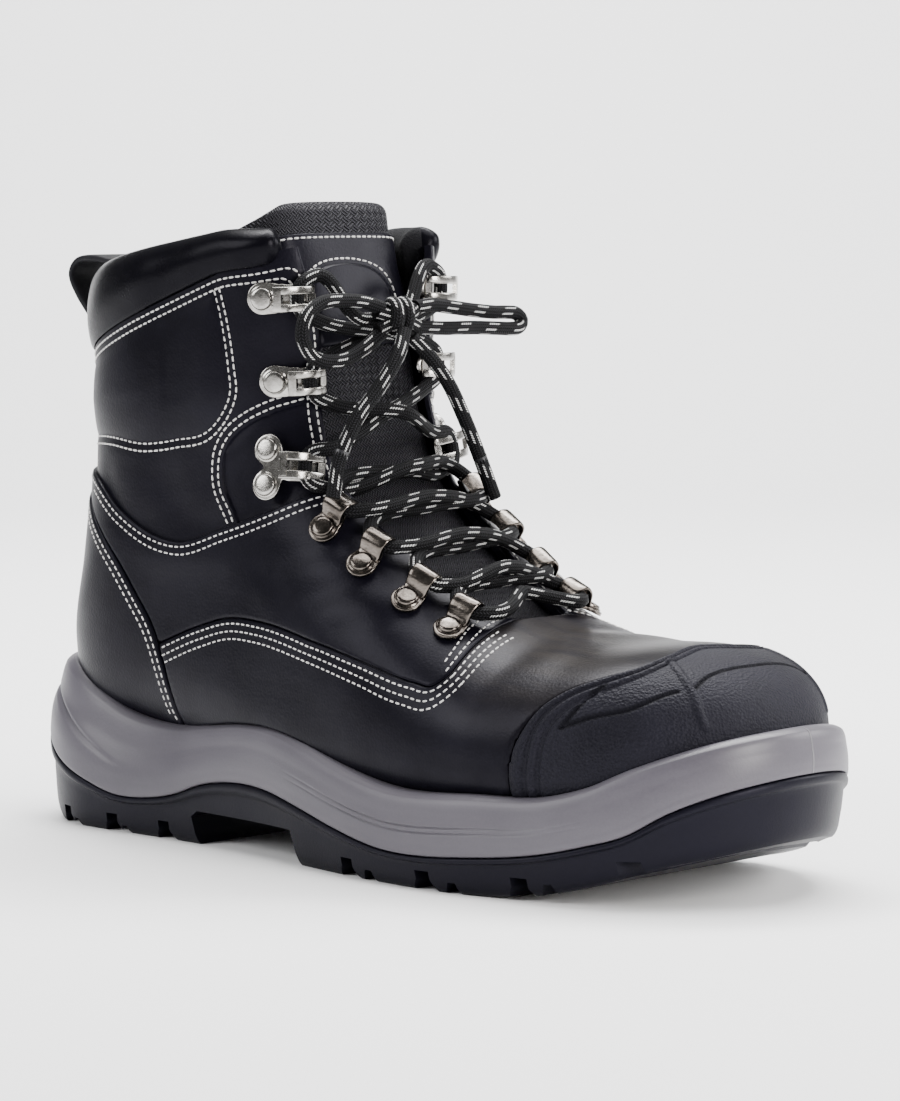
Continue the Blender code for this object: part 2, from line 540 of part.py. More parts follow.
def build_hardware():
    arch = np.array([(0.0, 0.9), (3.6, 1.6), (6.0, 5.2), (9.0, 6.8), (11.6, 5.4), (12.2, 2.2)])
    arch = band(smooth_path(arch, 6), 1.3)
    hook = np.array([(-3.7, 0.8), (4.0, 0.8), (12.5, 1.0), (15.0, 3.4), (14.0, 6.4), (10.5, 7.4), (5.5, 6.8)])
    hook = band(smooth_path(hook, 8), 1.4)
    for side, word in SIDES:
        for name, row, share, stand in HARDWARE:
            frame = hardware_frame(name, row, side * share, stand)
            if name.startswith("lace_loop"):
                solids = [extrude(arch, 7.5), disc((0.0, 0.0), 4.8, 0.0, 2.4)]
                fuse(f"{word}_{name}", solids, frame, BRONZE, roughness=0.35, metallic=0.9)
                continue
            rivets = ((-2.0, 5.6), (-2.0, -5.6)) if name == "lock_hook" else ((0.0, 0.0),)
            solids = [extrude(hook, 8.0)] + [disc(rivet, 5.2, 0.0, 2.4) for rivet in rivets]
            fuse(f"{word}_{name}", solids, frame, NICKEL, roughness=0.3, metallic=1.0)


# Bow in millimetres, and the lace's two ends
KNOT = (-5.5, -5.5, 168.0)
KNOT_SIZE = (5.6, 7.8, 7.0)
OUTER_BOW = ((-6.0, -12.8, 171.2), (-7.0, -20.0, 173.2), (-7.9, -28.0, 173.8), (-8.8, -37.4, 172.9),
             (-9.2, -43.2, 168.9), (-9.3, -44.7, 163.1), (-9.0, -40.9, 157.1), (-8.6, -31.2, 155.0),
             (-8.0, -19.4, 158.4), (-6.2, -12.4, 163.6))
INNER_BOW = ((-5.5, 1.8, 171.5), (-5.0, 9.0, 173.0), (-4.4, 17.0, 172.6), (-3.9, 27.4, 171.4), (-2.6, 42.0, 169.4),
             (-2.2, 47.9, 165.6), (-2.6, 42.0, 162.4), (-3.9, 27.4, 162.6), (-4.6, 14.0, 163.2), (-5.5, 1.8, 164.7))
OUTER_END = ((0.1, -9.0, 164.3), (2.4, -13.6, 158.0), (1.6, -21.0, 148.0), (-0.2, -30.0, 137.5),
             (-2.0, -36.0, 125.0), (-1.8, -39.0, 113.5))
INNER_END = ((-2.7, -2.7, 161.8), (0.6, 2.4, 155.6), (2.0, 9.4, 147.0), (3.0, 15.0, 137.0), (4.5, 22.0, 122.0),
             (5.5, 27.0, 110.5))


def build_laces():
    """The bar and the crossings end at points just inside each loop and hook, and are joined there."""
    ends = []
    for name, row, share, stand in HARDWARE:
        reach, rise = (14.9, 3.4) if name.startswith("lace_loop") else (17.4, 3.2)
        if name == "lock_hook":
            reach, rise = 20.5, 10.5
        pair = []
        for side, _ in SIDES:
            pair.append(place([(reach, 0.0, rise)], hardware_frame(name, row, side * share, stand))[0])
        out = hardware_frame(name, row, 0.77, stand)[1] * (1.0, 0.0, 1.0)
        ends.append((*pair, out / np.linalg.norm(out)))
    outer, inner, out = ends[0]
    strands = [(outer, inner, 1.5 * out)]
    for low, high in zip(ends, ends[1:]):
        out = (low[2] + high[2]) / 2
        over = 2.0 if high is ends[-1] else LACE + 0.8
        strands.append((low[0], high[1], 0.5 * out))
        strands.append((low[1], high[0], over * out))
    outer, inner, _ = ends[-1]
    behind_knot = np.array(KNOT) - (KNOT_SIZE[0] + LACE / 2 + GAP, 0.0, 0.0)
    strands.append((outer, inner, behind_knot - (outer + inner) / 2))
    joined = None
    for i, (start, finish, bow) in enumerate(strands):
        way = (finish - start) / np.linalg.norm(finish - start)
        f = np.linspace(0, 1, 3)[:, None]
        path = start + f * (finish - start) + 4 * f * (1 - f) * bow
        path[0] -= way * (0.3 + 0.07 * i)
        path[-1] += way * (0.3 + 0.07 * i)
        points, faces = tube(path, LACE / 2)
        if joined is None:
            joined = make("lace_crossings", points, faces, LACE_BLACK, roughness=0.8)
        else:
            combine(joined, make(f"lace_joiner_{i}", points, faces), "UNION")
    rings = []
    for angle in np.linspace(0.12, math.pi - 0.12, 7):
        turn = np.arange(10) * math.pi / 5
        round_it = math.sin(angle) * np.array([np.cos(turn), np.sin(turn)])
        ball = np.column_stack([*round_it, np.full(10, math.cos(angle))])
        rings.append(np.array(KNOT) + ball * KNOT_SIZE)
    make("lace_knot", *loft(rings), LACE_BLACK, roughness=0.8)
    cord("lace_bow_outer", OUTER_BOW)
    cord("lace_bow_inner", INNER_BOW)
    cord("lace_end_outer", OUTER_END)
    cord("lace_end_inner", INNER_END)


def cord(name, route):
    """A free stretch of lace: a round curve through its route, with a point every two or three diameters."""
    length = np.linalg.norm(np.diff(np.array(route), axis=0), axis=1).sum()
    path = smooth_path(np.array(route), max(4, round(length / (2 * LACE))) + 1)
    data = bpy.data.curves.new(name, "CURVE")
    data.dimensions = "3D"
    data.bevel_depth = LACE / 2 * MM
    data.bevel_resolution = 2
    data.use_fill_caps = True
    spline = data.splines.new("POLY")
    spline.points.add(len(path) - 1)
    for point, place_at in zip(spline.points, path * MM):
        point.co = (*place_at, 1.0)
    finish(bpy.data.objects.new(name, data), LACE_BLACK, 0.8)


def main():
    for obj in list(bpy.data.objects):
        bpy.data.objects.remove(obj)
    build_sole()
    build_upper()
    build_collar()
    build_tongue()
    build_pull_loop()
    build_hardware()
    build_laces()


if __name__ == "__main__":
    main()
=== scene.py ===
"""Black lace-up cold storage boot, right foot, on a pale studio floor.

The toe points along +X and the outer side faces -Y. Sizes are in millimetres, and meshes are in metres.
"""

import math

import bmesh
import bpy
import numpy as np
from mathutils import Matrix, Vector


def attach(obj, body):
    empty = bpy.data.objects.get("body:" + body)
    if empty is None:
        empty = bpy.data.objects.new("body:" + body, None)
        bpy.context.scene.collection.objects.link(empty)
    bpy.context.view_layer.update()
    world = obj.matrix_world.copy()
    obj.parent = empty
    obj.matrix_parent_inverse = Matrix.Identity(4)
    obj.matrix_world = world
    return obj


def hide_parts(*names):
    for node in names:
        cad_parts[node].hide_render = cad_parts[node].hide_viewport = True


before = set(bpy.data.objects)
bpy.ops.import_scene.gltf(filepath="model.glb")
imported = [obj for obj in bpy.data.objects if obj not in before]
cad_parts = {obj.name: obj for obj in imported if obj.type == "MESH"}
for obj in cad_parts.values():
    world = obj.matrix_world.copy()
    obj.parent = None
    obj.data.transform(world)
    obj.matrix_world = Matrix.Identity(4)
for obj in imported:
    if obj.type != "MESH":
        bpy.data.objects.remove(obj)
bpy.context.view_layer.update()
MM = 0.001

# Outsole: one moulding of near-black rubber with a rolled lip, deep chevron lugs and a raised waist.
# It is bonded under the grey midsole, and the boot stands on its heel and forefoot.

# Plan of the sole: x, centre, half of the width before the ends are rounded
PLAN = np.array([
    (-155.0, 0.0, 42.0), (-110.0, 0.0, 43.0), (-70.0, -1.5, 42.0), (-30.0, -3.5, 44.5), (0.0, -4.0, 50.0),
    (30.0, -3.5, 55.0), (60.0, -2.0, 57.0), (90.0, 0.5, 55.5), (120.0, 2.0, 53.0), (153.0, 2.0, 51.0)])
HEEL_END, TOE_END = -155.0, 153.0
HEEL_ROUND, TOE_ROUND = 43.0, 60.0
HEEL_POWER, TOE_POWER = 2.0, 2.1
STATIONS = 132
WAIST_BACK, WAIST_LENGTH = -95.0, 75.0

# Heights along the sole: x, top edge, side parting, parting under the foot, tread
HEIGHTS = np.array([
    (-155.0, 54.0, 32.0, 12.5, 5.5), (-146.0, 54.0, 31.0, 12.5, 2.0), (-135.0, 53.0, 25.0, 12.5, 0.0),
    (-113.0, 45.5, 16.6, 12.5, 0.0), (-98.0, 39.5, 12.8, 12.3, 0.0), (-84.0, 37.2, 13.0, 12.6, 0.0),
    (-70.0, 37.2, 15.4, 14.8, 0.0), (-56.0, 39.0, 20.0, 18.5, 0.0), (-40.0, 41.0, 22.4, 21.2, 0.0),
    (-24.0, 41.2, 22.2, 21.0, 0.0), (-6.0, 38.2, 19.2, 18.4, 0.0), (14.0, 33.2, 14.8, 14.2, 0.0),
    (36.0, 29.2, 11.0, 10.6, 0.0), (70.0, 30.0, 11.8, 10.8, 0.0), (98.0, 32.0, 15.5, 12.6, 3.0),
    (110.0, 35.4, 18.5, 14.4, 5.8), (121.0, 40.6, 22.0, 16.6, 9.2), (132.0, 45.0, 29.0, 19.2, 12.8),
    (143.0, 49.0, 34.5, 22.0, 15.6), (153.0, 52.0, 38.6, 24.0, 18.5)])
TOP, PARTING, UNDER, TREAD = 1, 2, 3, 4
GAP = 0.3
SHARP = 38

# Bands of the outsole's side from the lip down: share of the height, inset at the heel and at the forefoot
OUTSOLE_BANDS = (
    (1.0, 0.8, 0.8), (0.985, 0.3, 0.3), (0.96, 0.1, 0.1), (0.92, 0.0, 0.0), (0.88, 0.1, 0.1),
    (0.855, 0.5, 0.5), (0.835, 1.1, 1.1), (0.80, 1.35, 1.35), (0.70, 1.45, 1.5), (0.60, 1.6, 1.7),
    (0.50, 1.75, 1.9), (0.40, 1.9, 2.2), (0.30, 2.1, 2.5), (0.20, 2.4, 2.8), (0.12, 2.9, 3.3),
    (0.06, 3.5, 3.9), (0.02, 4.2, 4.6))
RIM_WIDTH = 5.0
FOOT_INSET, FOOT_WIDER = 5.4, 0.5
BREAST_LOW, BREAST_HIGH, FORE_HIGH, FORE_LOW = -59.0, -62.0, -10.0, -5.0
WAIST_HEIGHT = 11.0
# Chevron grooves of the tread: x at the edge, sweep towards the middle, width, depth
GROOVES = (
    (-132.0, 10.0, 5.0, 6.0), (-107.5, 10.0, 5.0, 6.0), (-83.0, 10.0, 5.0, 6.0), (12.0, 16.0, 5.5, 6.0),
    (46.0, 16.0, 5.5, 6.0), (80.0, 16.0, 5.5, 6.5), (112.0, 14.0, 5.5, 8.0))
GROOVE_SPLAY, GROOVE_REACH = 4.6, 75.0
# Short notches in the outer walls of the lugs: x, width, depth
NOTCHES = ((-119.5, 3.2, 2.4), (-95.0, 3.2, 2.4), (29.0, 4.6, 3.4), (63.5, 4.6, 3.4), (97.0, 4.2, 3.2))
NOTCH_SPLAY, NOTCH_REACH, NOTCH_OUT = 3.2, 7.0, 20.0
BELOW = 4.0


def ease(f):
    """A soft step from 0 to 1."""
    f = np.clip(f, 0, 1)
    return f * f * (3 - 2 * f)


def unit(vectors):
    """Vectors made one long."""
    return vectors / np.linalg.norm(vectors, axis=-1)[..., None]


def hermite(f, width, start, end, leave, arrive):
    """Smooth value a share f of the way over a width, between two values with their slopes."""
    ends = (1 + 2 * f) * (1 - f) ** 2 * start + f * f * (3 - 2 * f) * end
    return ends + width * (f * (1 - f) ** 2 * leave + f * f * (f - 1) * arrive)


def curve(table, x, column=1):
    """Smooth value of one column of a table at x, where the first column holds x."""
    key, value = table[:, 0], table[:, column]
    slopes = np.gradient(value, key)
    i = np.clip(np.searchsorted(key, x, side="right") - 1, 0, len(key) - 2)
    width = key[i + 1] - key[i]
    f = np.clip((x - key[i]) / width, 0, 1)
    return hermite(f, width, value[i], value[i + 1], slopes[i], slopes[i + 1])


def fore_share(x):
    """0 at the heel and 1 at the forefoot, smooth between."""
    return ease((x - WAIST_BACK) / WAIST_LENGTH)


def sole_ring(inset, height):
    """The sole's outline at the stations, moved in by inset and set at height, each given by x."""
    turn = np.linspace(0, math.pi, STATIONS + 1)
    x = (HEEL_END + TOE_END) / 2 - (TOE_END - HEEL_END) / 2 * np.cos(turn)
    heel = np.clip((HEEL_END + HEEL_ROUND - x) / HEEL_ROUND, 0, 1)
    toe = np.clip((x - TOE_END + TOE_ROUND) / TOE_ROUND, 0, 1)
    rounding = (1 - heel ** HEEL_POWER) ** (1 / HEEL_POWER) * (1 - toe ** TOE_POWER) ** (1 / TOE_POWER)
    half = curve(PLAN, x, 2) * rounding
    mid = curve(PLAN, x, 1)
    outer, inner = np.column_stack([x, mid - half]), np.column_stack([x, mid + half])
    ring = np.vstack([outer, inner[-2:0:-1]])
    tangent = np.roll(ring, -1, axis=0) - np.roll(ring, 1, axis=0)
    normal = unit(np.column_stack([tangent[:, 1], -tangent[:, 0]]))
    moved = ring - normal * np.broadcast_to(inset(ring[:, 0]), len(ring))[:, None]
    return np.column_stack([moved, height(ring[:, 0])])


def loft(rings):
    """Points and faces of a capped skin over rings of equal length."""
    count, around = len(rings), len(rings[0])
    faces = []
    for a in range(0, (count - 1) * around, around):
        for j in range(around):
            k = (j + 1) % around
            faces.append((a + j, a + k, a + around + k, a + around + j))
    faces += [tuple(range(around))[::-1], tuple(range((count - 1) * around, count * around))]
    return np.vstack([np.asarray(ring, float) for ring in rings]), faces


def joined(skins):
    """Points and faces of several skins as one."""
    points, faces, start = [], [], 0
    for skin, skin_faces in skins:
        faces += [tuple(i + start for i in face) for face in skin_faces]
        points.append(skin)
        start += len(skin)
    return np.vstack(points), faces


def smoothed(mesh, sharp):
    """Makes a mesh smooth but for edges over an angle."""
    mesh.shade_smooth()
    mesh.set_sharp_from_angle(angle=math.radians(sharp))


def placed(name, data):
    """A new object of the scene that holds a mesh, a light or a camera."""
    made = bpy.data.objects.new(name, data)
    bpy.context.scene.collection.objects.link(made)
    return made


def solid_piece(name, points, faces, sharp=SHARP):
    """An object from points in millimetres, its faces turned outwards, smooth but for edges over an angle."""
    mesh = bpy.data.meshes.new(name)
    mesh.from_pydata((np.asarray(points) * MM).tolist(), [], [tuple(int(i) for i in f) for f in faces])
    bm = bmesh.new()
    bm.from_mesh(mesh)
    bmesh.ops.recalc_face_normals(bm, faces=bm.faces)
    if bm.calc_volume(signed=True) < 0:
        bmesh.ops.reverse_faces(bm, faces=bm.faces)
    bm.to_mesh(mesh)
    bm.free()
    smoothed(mesh, sharp)
    return placed(name, mesh)


def sole_solid(name, rings):
    """A skin over sole rings, closed by strips from the outer side to the inner side."""
    points, faces = loft(rings)
    faces = faces[:-2]
    for start in (0, (len(rings) - 1) * 2 * STATIONS):
        inner = [2 * STATIONS - i for i in range(STATIONS + 1)]
        faces.append((start, start + 1, start + inner[1]))
        for i in range(1, STATIONS - 1):
            faces.append((start + i, start + i + 1, start + inner[i + 1], start + inner[i]))
        faces.append((start + STATIONS - 1, start + STATIONS, start + inner[STATIONS - 1]))
    return solid_piece(name, points, faces)


def side_prism(name, outline, reach=90.0):
    """A cutter: an outline of x and z pairs, run across the boot."""
    outline = np.asarray(outline, float)
    rings = []
    for y in (-reach, reach):
        rings.append(np.column_stack([outline[:, 0], np.full(len(outline), y), outline[:, 1]]))
    return solid_piece(name, *loft(rings))


def settled(piece):
    """Turns a piece's modifiers into plain mesh."""
    bpy.context.view_layer.update()
    graph = bpy.context.evaluated_depsgraph_get()
    mesh = bpy.data.meshes.new_from_object(piece.evaluated_get(graph))
    piece.modifiers.clear()
    piece.data = mesh
    return piece


def carve(piece, tool, operation="DIFFERENCE"):
    """Cuts a piece with a tool, or keeps what both share, and removes the tool."""
    modifier = piece.modifiers.new("carve", "BOOLEAN")
    modifier.operation = operation
    modifier.object = tool
    modifier.solver = "EXACT"
    settled(piece)
    bpy.data.objects.remove(tool)
    smoothed(piece.data, SHARP)


class Wire:
    """One socket of a finish. Sums on wires add Math nodes, and node() adds any other node."""

    def __init__(self, tree, socket=None):
        self.tree, self.socket = tree, socket

    def node(self, kind, settings=None, sockets=None, out=0):
        made = self.tree.nodes.new(kind)
        for key, value in (settings or {}).items():
            setattr(made, key, value)
        for key, value in (sockets or {}).items():
            if isinstance(value, Wire):
                self.tree.links.new(value.socket, made.inputs[key])
            else:
                made.inputs[key].default_value = value
        return Wire(self.tree, made.outputs[out])

    def maths(self, operation, first, second=0.0):
        return self.node("ShaderNodeMath", {"operation": operation}, {0: first, 1: second})

    def __add__(self, other):
        return self.maths("ADD", self, other)

    def __radd__(self, other):
        return self.maths("ADD", other, self)

    def __sub__(self, other):
        return self.maths("SUBTRACT", self, other)

    def __rsub__(self, other):
        return self.maths("SUBTRACT", other, self)

    def __mul__(self, other):
        return self.maths("MULTIPLY", self, other)

    def __rmul__(self, other):
        return self.maths("MULTIPLY", other, self)

    def sine(self):
        return self.maths("SINE", self)

    def absolute(self):
        return self.maths("ABSOLUTE", self)

    def ramp(self, low, high, start=0.0, end=1.0):
        """A soft step from start to end as this wire goes from low to high."""
        return self.node("ShaderNodeMapRange", {"interpolation_type": "SMOOTHSTEP"},
                         {"Value": self, "From Min": low, "From Max": high, "To Min": start, "To Max": end})

    def tint(self, dark, light):
        """A colour between two, by this wire."""
        return self.node("ShaderNodeMix", {"data_type": "RGBA"}, {0: self, 6: (*dark, 1), 7: (*light, 1)}, 2)

    def over(self, below, above):
        """Colour below where this wire is 0, colour above where it is 1, each a wire."""
        return self.node("ShaderNodeMix", {"data_type": "RGBA"}, {0: self, 6: below, 7: above}, 2)

    def noise(self, size, detail=2.0, rough=0.5, stretch=(1.0, 1.0, 1.0)):
        """Noise at this wire's place, with features of a size in millimetres."""
        scale = tuple(s / (size * MM) for s in stretch)
        place = self.node("ShaderNodeVectorMath", {"operation": "MULTIPLY"}, {0: self, 1: scale})
        return self.node("ShaderNodeTexNoise", None, {
            "Vector": place, "Scale": 1.0, "Detail": detail, "Roughness": rough})

    def cells(self, size, smooth):
        """Soft distance to the middle of a cell at this wire's place, with cells of a size in millimetres."""
        sockets = {"Vector": self, "Scale": 1 / (size * MM), "Smoothness": smooth}
        return self.node("ShaderNodeTexVoronoi", {"feature": "SMOOTH_F1"}, sockets)

    def bump(self, depth, below=None):
        """A normal from this wire as height, where 1 is a depth in millimetres."""
        sockets = {"Height": self, "Strength": 1.0, "Distance": depth * MM}
        if below is not None:
            sockets["Normal"] = below
        return self.node("ShaderNodeBump", None, sockets)


class Finish:
    """A procedural material, with the piece's own place and map for its patterns."""

    def __init__(self, name, fixed):
        self.material = bpy.data.materials.new(name)
        self.material.use_nodes = True
        tree = self.material.node_tree
        self.shader = tree.nodes["Principled BSDF"]
        for key, value in fixed.items():
            self.shader.inputs[key].default_value = value
        self.wire = Wire(tree)
        self.place = self.wire.node("ShaderNodeTexCoord", out=3)
        self.map = self.wire.node("ShaderNodeTexCoord", out=2)

    def split(self, vector):
        """The x, y and z of a place."""
        made = vector.node("ShaderNodeSeparateXYZ", None, {0: vector}).socket.node
        return [Wire(vector.tree, socket) for socket in made.outputs]

    def feed(self, **wires):
        """Links wires to the shader's sockets."""
        names = {"colour": "Base Color", "roughness": "Roughness", "coat": "Coat Weight", "normal": "Normal"}
        for key, wire in wires.items():
            wire.tree.links.new(wire.socket, self.shader.inputs[names[key]])


def dress(piece, slot, finishes, *nodes):
    """Gives a piece its finishes, its place on the boot and the solids that it stands for. Its slot is not
    used.
    """
    piece.data.materials.clear()
    for finish in finishes:
        piece.data.materials.append(finish.material)
    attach(piece, "root")
    if nodes:
        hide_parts(*nodes)


outsole_rubber = Finish("outsole_rubber", {
    "Specular IOR Level": 0.13, "Specular Tint": (0.84, 0.82, 1.0, 1.0)})
cloud = outsole_rubber.place.noise(22, 3)
speck = outsole_rubber.place.noise(0.7, 3, 0.7)
outsole_rubber.feed(
    colour=(cloud * 0.75 + speck * 0.25).tint((0.0012, 0.0011, 0.0026), (0.0042, 0.0039, 0.0076)),
    roughness=0.28 + cloud * 0.16 + speck * 0.1,
    normal=(speck * 0.7 + cloud * 0.3).bump(0.10))

rings = [sole_ring(lambda x: RIM_WIDTH + 0 * x, lambda x: curve(HEIGHTS, x, UNDER) - GAP),
         sole_ring(lambda x: RIM_WIDTH - 0.2 + 0 * x, lambda x: curve(HEIGHTS, x, PARTING) - GAP)]
for share, heel, fore in OUTSOLE_BANDS:
    rings.append(sole_ring(
        lambda x: heel + (fore - heel) * fore_share(x),
        lambda x: share * curve(HEIGHTS, x, PARTING) + (1 - share) * curve(HEIGHTS, x, TREAD) - GAP))
rings.append(sole_ring(lambda x: FOOT_INSET + FOOT_WIDER * fore_share(x),
                       lambda x: np.maximum(curve(HEIGHTS, x, TREAD), 0.0)))
rings = [np.maximum(ring, (-np.inf, -np.inf, 0.0)) for ring in rings]
outsole = sole_solid("outsole_moulding", rings)
waist = ((BREAST_LOW, -5.0), (BREAST_HIGH, WAIST_HEIGHT - 2), (BREAST_HIGH + 3, WAIST_HEIGHT),
         (FORE_HIGH, WAIST_HEIGHT), (FORE_LOW, -5.0))
carve(outsole, side_prism("waist_cutter", waist))
cutters = []
for x, sweep, width, depth in GROOVES:
    floor = max(0.0, curve(HEIGHTS, x, TREAD))
    walls = []
    for z, splay in ((floor - BELOW, GROOVE_SPLAY), (floor + 0.55 * depth, 0.0), (floor + depth, 0.0)):
        back, front = x - splay, x + width + splay
        walls.append([(back, -GROOVE_REACH, z), (front, -GROOVE_REACH, z), (front + sweep, 0.0, z),
                      (front, GROOVE_REACH, z), (back, GROOVE_REACH, z), (back + sweep, 0.0, z)])
    cutters.append(loft(walls))
carve(outsole, solid_piece("groove_cutter", *joined(cutters)))
cutters = []
for x, width, depth in NOTCHES:
    floor = max(0.0, curve(HEIGHTS, x, TREAD))
    for way in (-1, 1):
        edge = curve(PLAN, x, 1) + way * curve(PLAN, x, 2)
        walls = []
        for z, splay in ((floor - BELOW, NOTCH_SPLAY), (floor + depth, 0.0)):
            mouth, end = width / 2 + splay, width / 4 + splay
            out, deep = edge + way * NOTCH_OUT, edge - way * (NOTCH_REACH + splay)
            walls.append([(x - mouth, out, z), (x + mouth, out, z), (x + end, deep, z), (x - end, deep, z)])
        cutters.append(loft(walls))
carve(outsole, solid_piece("notch_cutter", *joined(cutters)))
dress(outsole, "outsole_rubber", [outsole_rubber], "outsole")

# Midsole: a thick cup of warm grey foam, moulded round the lasted upper and bonded to the outsole.
# A fold sweeps down from the back of the heel, and two thin grooves run along the side of the forefoot.

# Bands of its side, listed from the top edge down: share of the height, inset at the heel and at the forefoot
MIDSOLE_BANDS = np.array((
    (1.0, 9.4, 5.4), (0.998, 8.5, 4.6), (0.99, 7.7, 3.9), (0.975, 7.0, 3.2), (0.955, 6.4, 2.6),
    (0.93, 5.8, 2.0), (0.88, 5.2, 1.5), (0.80, 4.55, 1.05), (0.72, 4.05, 0.8), (0.62, 3.4, 0.6),
    (0.50, 2.2, 0.3), (0.38, 1.15, 0.1), (0.27, 0.55, 0.0), (0.18, 0.3, 0.0), (0.08, 0.1, 0.0),
    (0.04, 0.05, 0.1), (0.015, 0.1, 0.25), (0.0, 0.35, 0.6)))[::-1]
# Folds of its side: x, share of the height where they run, depth
HEEL_FOLD = np.array([(-156.0, 0.60, 1.6), (-146.0, 0.585, 1.6), (-134.0, 0.54, 1.4), (-118.0, 0.46, 0.8),
                      (-106.0, 0.40, 0.35), (-94.0, 0.36, 0.0), (-80.0, 0.34, 0.0), (160.0, 0.34, 0.0)])
SIDE_GROOVE = np.array([(-156.0, 0.42, 0.0), (-40.0, 0.42, 0.0), (-12.0, 0.42, 0.0), (15.0, 0.42, 0.32),
                        (80.0, 0.42, 0.32), (112.0, 0.40, 0.0), (130.0, 0.40, 0.0), (160.0, 0.40, 0.0)])
# Each fold's table, its share above the table's line, its half width
FOLDS = ((HEEL_FOLD, 0.0, 0.034), (SIDE_GROOVE, 0.045, 0.016), (SIDE_GROOVE, -0.045, 0.016))

# Sections of the boot's form from the toe to above the collar, each from its bottom or back to its top or
# front: x and z of both, half width, share of the widest height, powers below and above it, centre, ridge
SECTIONS = np.array([
    (142.0, 43.0, 142.0, 46.0, 1.5, 0.50, 2.2, 2.2, 3.0, 0.0),
    (137.0, 32.5, 136.5, 59.0, 21.5, 0.48, 2.6, 2.4, 3.0, 0.0),
    (125.0, 28.0, 124.0, 67.0, 37.0, 0.44, 3.0, 2.6, 3.0, 0.5),
    (107.0, 25.5, 106.0, 70.5, 46.5, 0.40, 3.4, 2.7, 2.5, 1.0),
    (86.0, 24.0, 84.0, 70.5, 50.5, 0.36, 3.6, 2.5, 1.0, 2.0),
    (62.0, 23.5, 60.0, 73.0, 51.0, 0.33, 3.6, 2.4, -0.5, 3.0),
    (36.0, 23.5, 38.0, 80.0, 49.5, 0.30, 3.6, 2.7, -2.0, 3.5),
    (6.0, 24.5, 17.0, 93.5, 46.5, 0.28, 3.5, 3.3, -2.5, 3.5),
    (-26.0, 26.5, -2.0, 108.0, 43.5, 0.28, 3.4, 3.8, -2.0, 3.0),
    (-62.0, 29.0, -13.0, 122.5, 41.0, 0.32, 3.2, 4.0, -1.0, 2.5),
    (-98.0, 30.5, -18.0, 137.0, 40.0, 0.38, 3.0, 4.1, 0.0, 2.0),
    (-128.0, 33.0, -20.0, 149.0, 40.0, 0.42, 2.7, 4.2, 0.0, 1.5),
    (-138.8, 52.0, -20.0, 159.0, 40.5, 0.44, 2.4, 4.2, 0.0, 1.0),
    (-135.5, 78.0, -20.0, 168.5, 41.0, 0.46, 2.3, 4.3, 0.0, 0.5),
    (-131.8, 104.0, -20.5, 177.0, 41.5, 0.48, 2.3, 4.4, 0.0, 0.0),
    (-131.0, 130.0, -21.0, 185.0, 42.0, 0.50, 2.3, 4.4, 0.0, 0.0),
    (-131.5, 156.0, -22.0, 192.5, 42.5, 0.50, 2.3, 4.5, 0.0, 0.0),
    (-129.0, 181.0, -23.0, 199.0, 42.5, 0.50, 2.3, 4.5, 0.0, 0.0),
    (-127.0, 206.0, -24.0, 215.0, 42.5, 0.50, 2.3, 4.5, 0.0, 0.0),
])
FIRST_ROW, SHELL_TOP, RIM, LAST_ROW = 0.03, 15.85, 17.0, 18.0
FORM_STEP, FORM_AROUND = 0.02, 480
MOULD_LINE = 0.002


def along(rows, at):
    """Smooth values of a table's columns at fractional row numbers."""
    rows, at = np.asarray(rows, float), np.atleast_1d(np.asarray(at, float))
    slopes = np.gradient(rows, axis=0)
    low = np.clip(np.floor(at).astype(int), 0, len(rows) - 2)
    return hermite((at - low)[:, None], 1.0, rows[low], rows[low + 1], slopes[low], slopes[low + 1])


def run_along(points):
    """Length along a line up to each of its points."""
    return np.concatenate([[0], np.cumsum(np.linalg.norm(np.diff(points, axis=0), axis=1))])


def squared(wave, power):
    """A sine or cosine made squarer, or rounder, by a power."""
    return np.sign(wave) * np.abs(wave) ** power


def half_section(row, share):
    """Height share and half width at even shares of the way from the bottom point to the top point."""
    bottom_x, bottom_z, top_x, top_z, half_width, widest, low_power, high_power = row[:8]
    angle = np.linspace(0, math.pi, 641)
    low = angle <= math.pi / 2
    power = np.where(low, low_power, high_power)
    reach = np.where(low, widest, 1 - widest)
    height = widest - reach * squared(np.cos(angle), 2 / power)
    half = half_width * np.abs(np.sin(angle)) ** (2 / power)
    run = run_along(np.column_stack([height * math.hypot(top_x - bottom_x, top_z - bottom_z), half]))
    return np.interp(share * run[-1], run, height), np.interp(share * run[-1], run, half)


def normals_of(grid):
    """Outward normals of a grid of points whose columns run once round."""
    around = np.roll(grid, -1, axis=1) - np.roll(grid, 1, axis=1)
    normal = np.cross(around, np.gradient(grid, axis=0))
    return normal / np.maximum(np.linalg.norm(normal, axis=2), 1e-9)[:, :, None]


# The whole form as a fine grid. A turn runs from 0 at the bottom or back, up the outer side to 1 at the top
# or front, and down the inner side to 2.
form_turns = np.arange(FORM_AROUND) * 2 / FORM_AROUND
form_points = np.empty((round(LAST_ROW / FORM_STEP) + 1, FORM_AROUND, 3))
for i, row in enumerate(along(SECTIONS, np.arange(len(form_points)) * FORM_STEP)):
    height, half = half_section(row, np.where(form_turns <= 1, form_turns, 2 - form_turns))
    form_points[i, :, 0] = row[0] + height * (row[2] - row[0])
    form_points[i, :, 1] = row[8] + row[9] * height ** 2 + np.where(form_turns <= 1, -half, half)
    form_points[i, :, 2] = row[1] + height * (row[3] - row[1])
form_normals = normals_of(form_points)


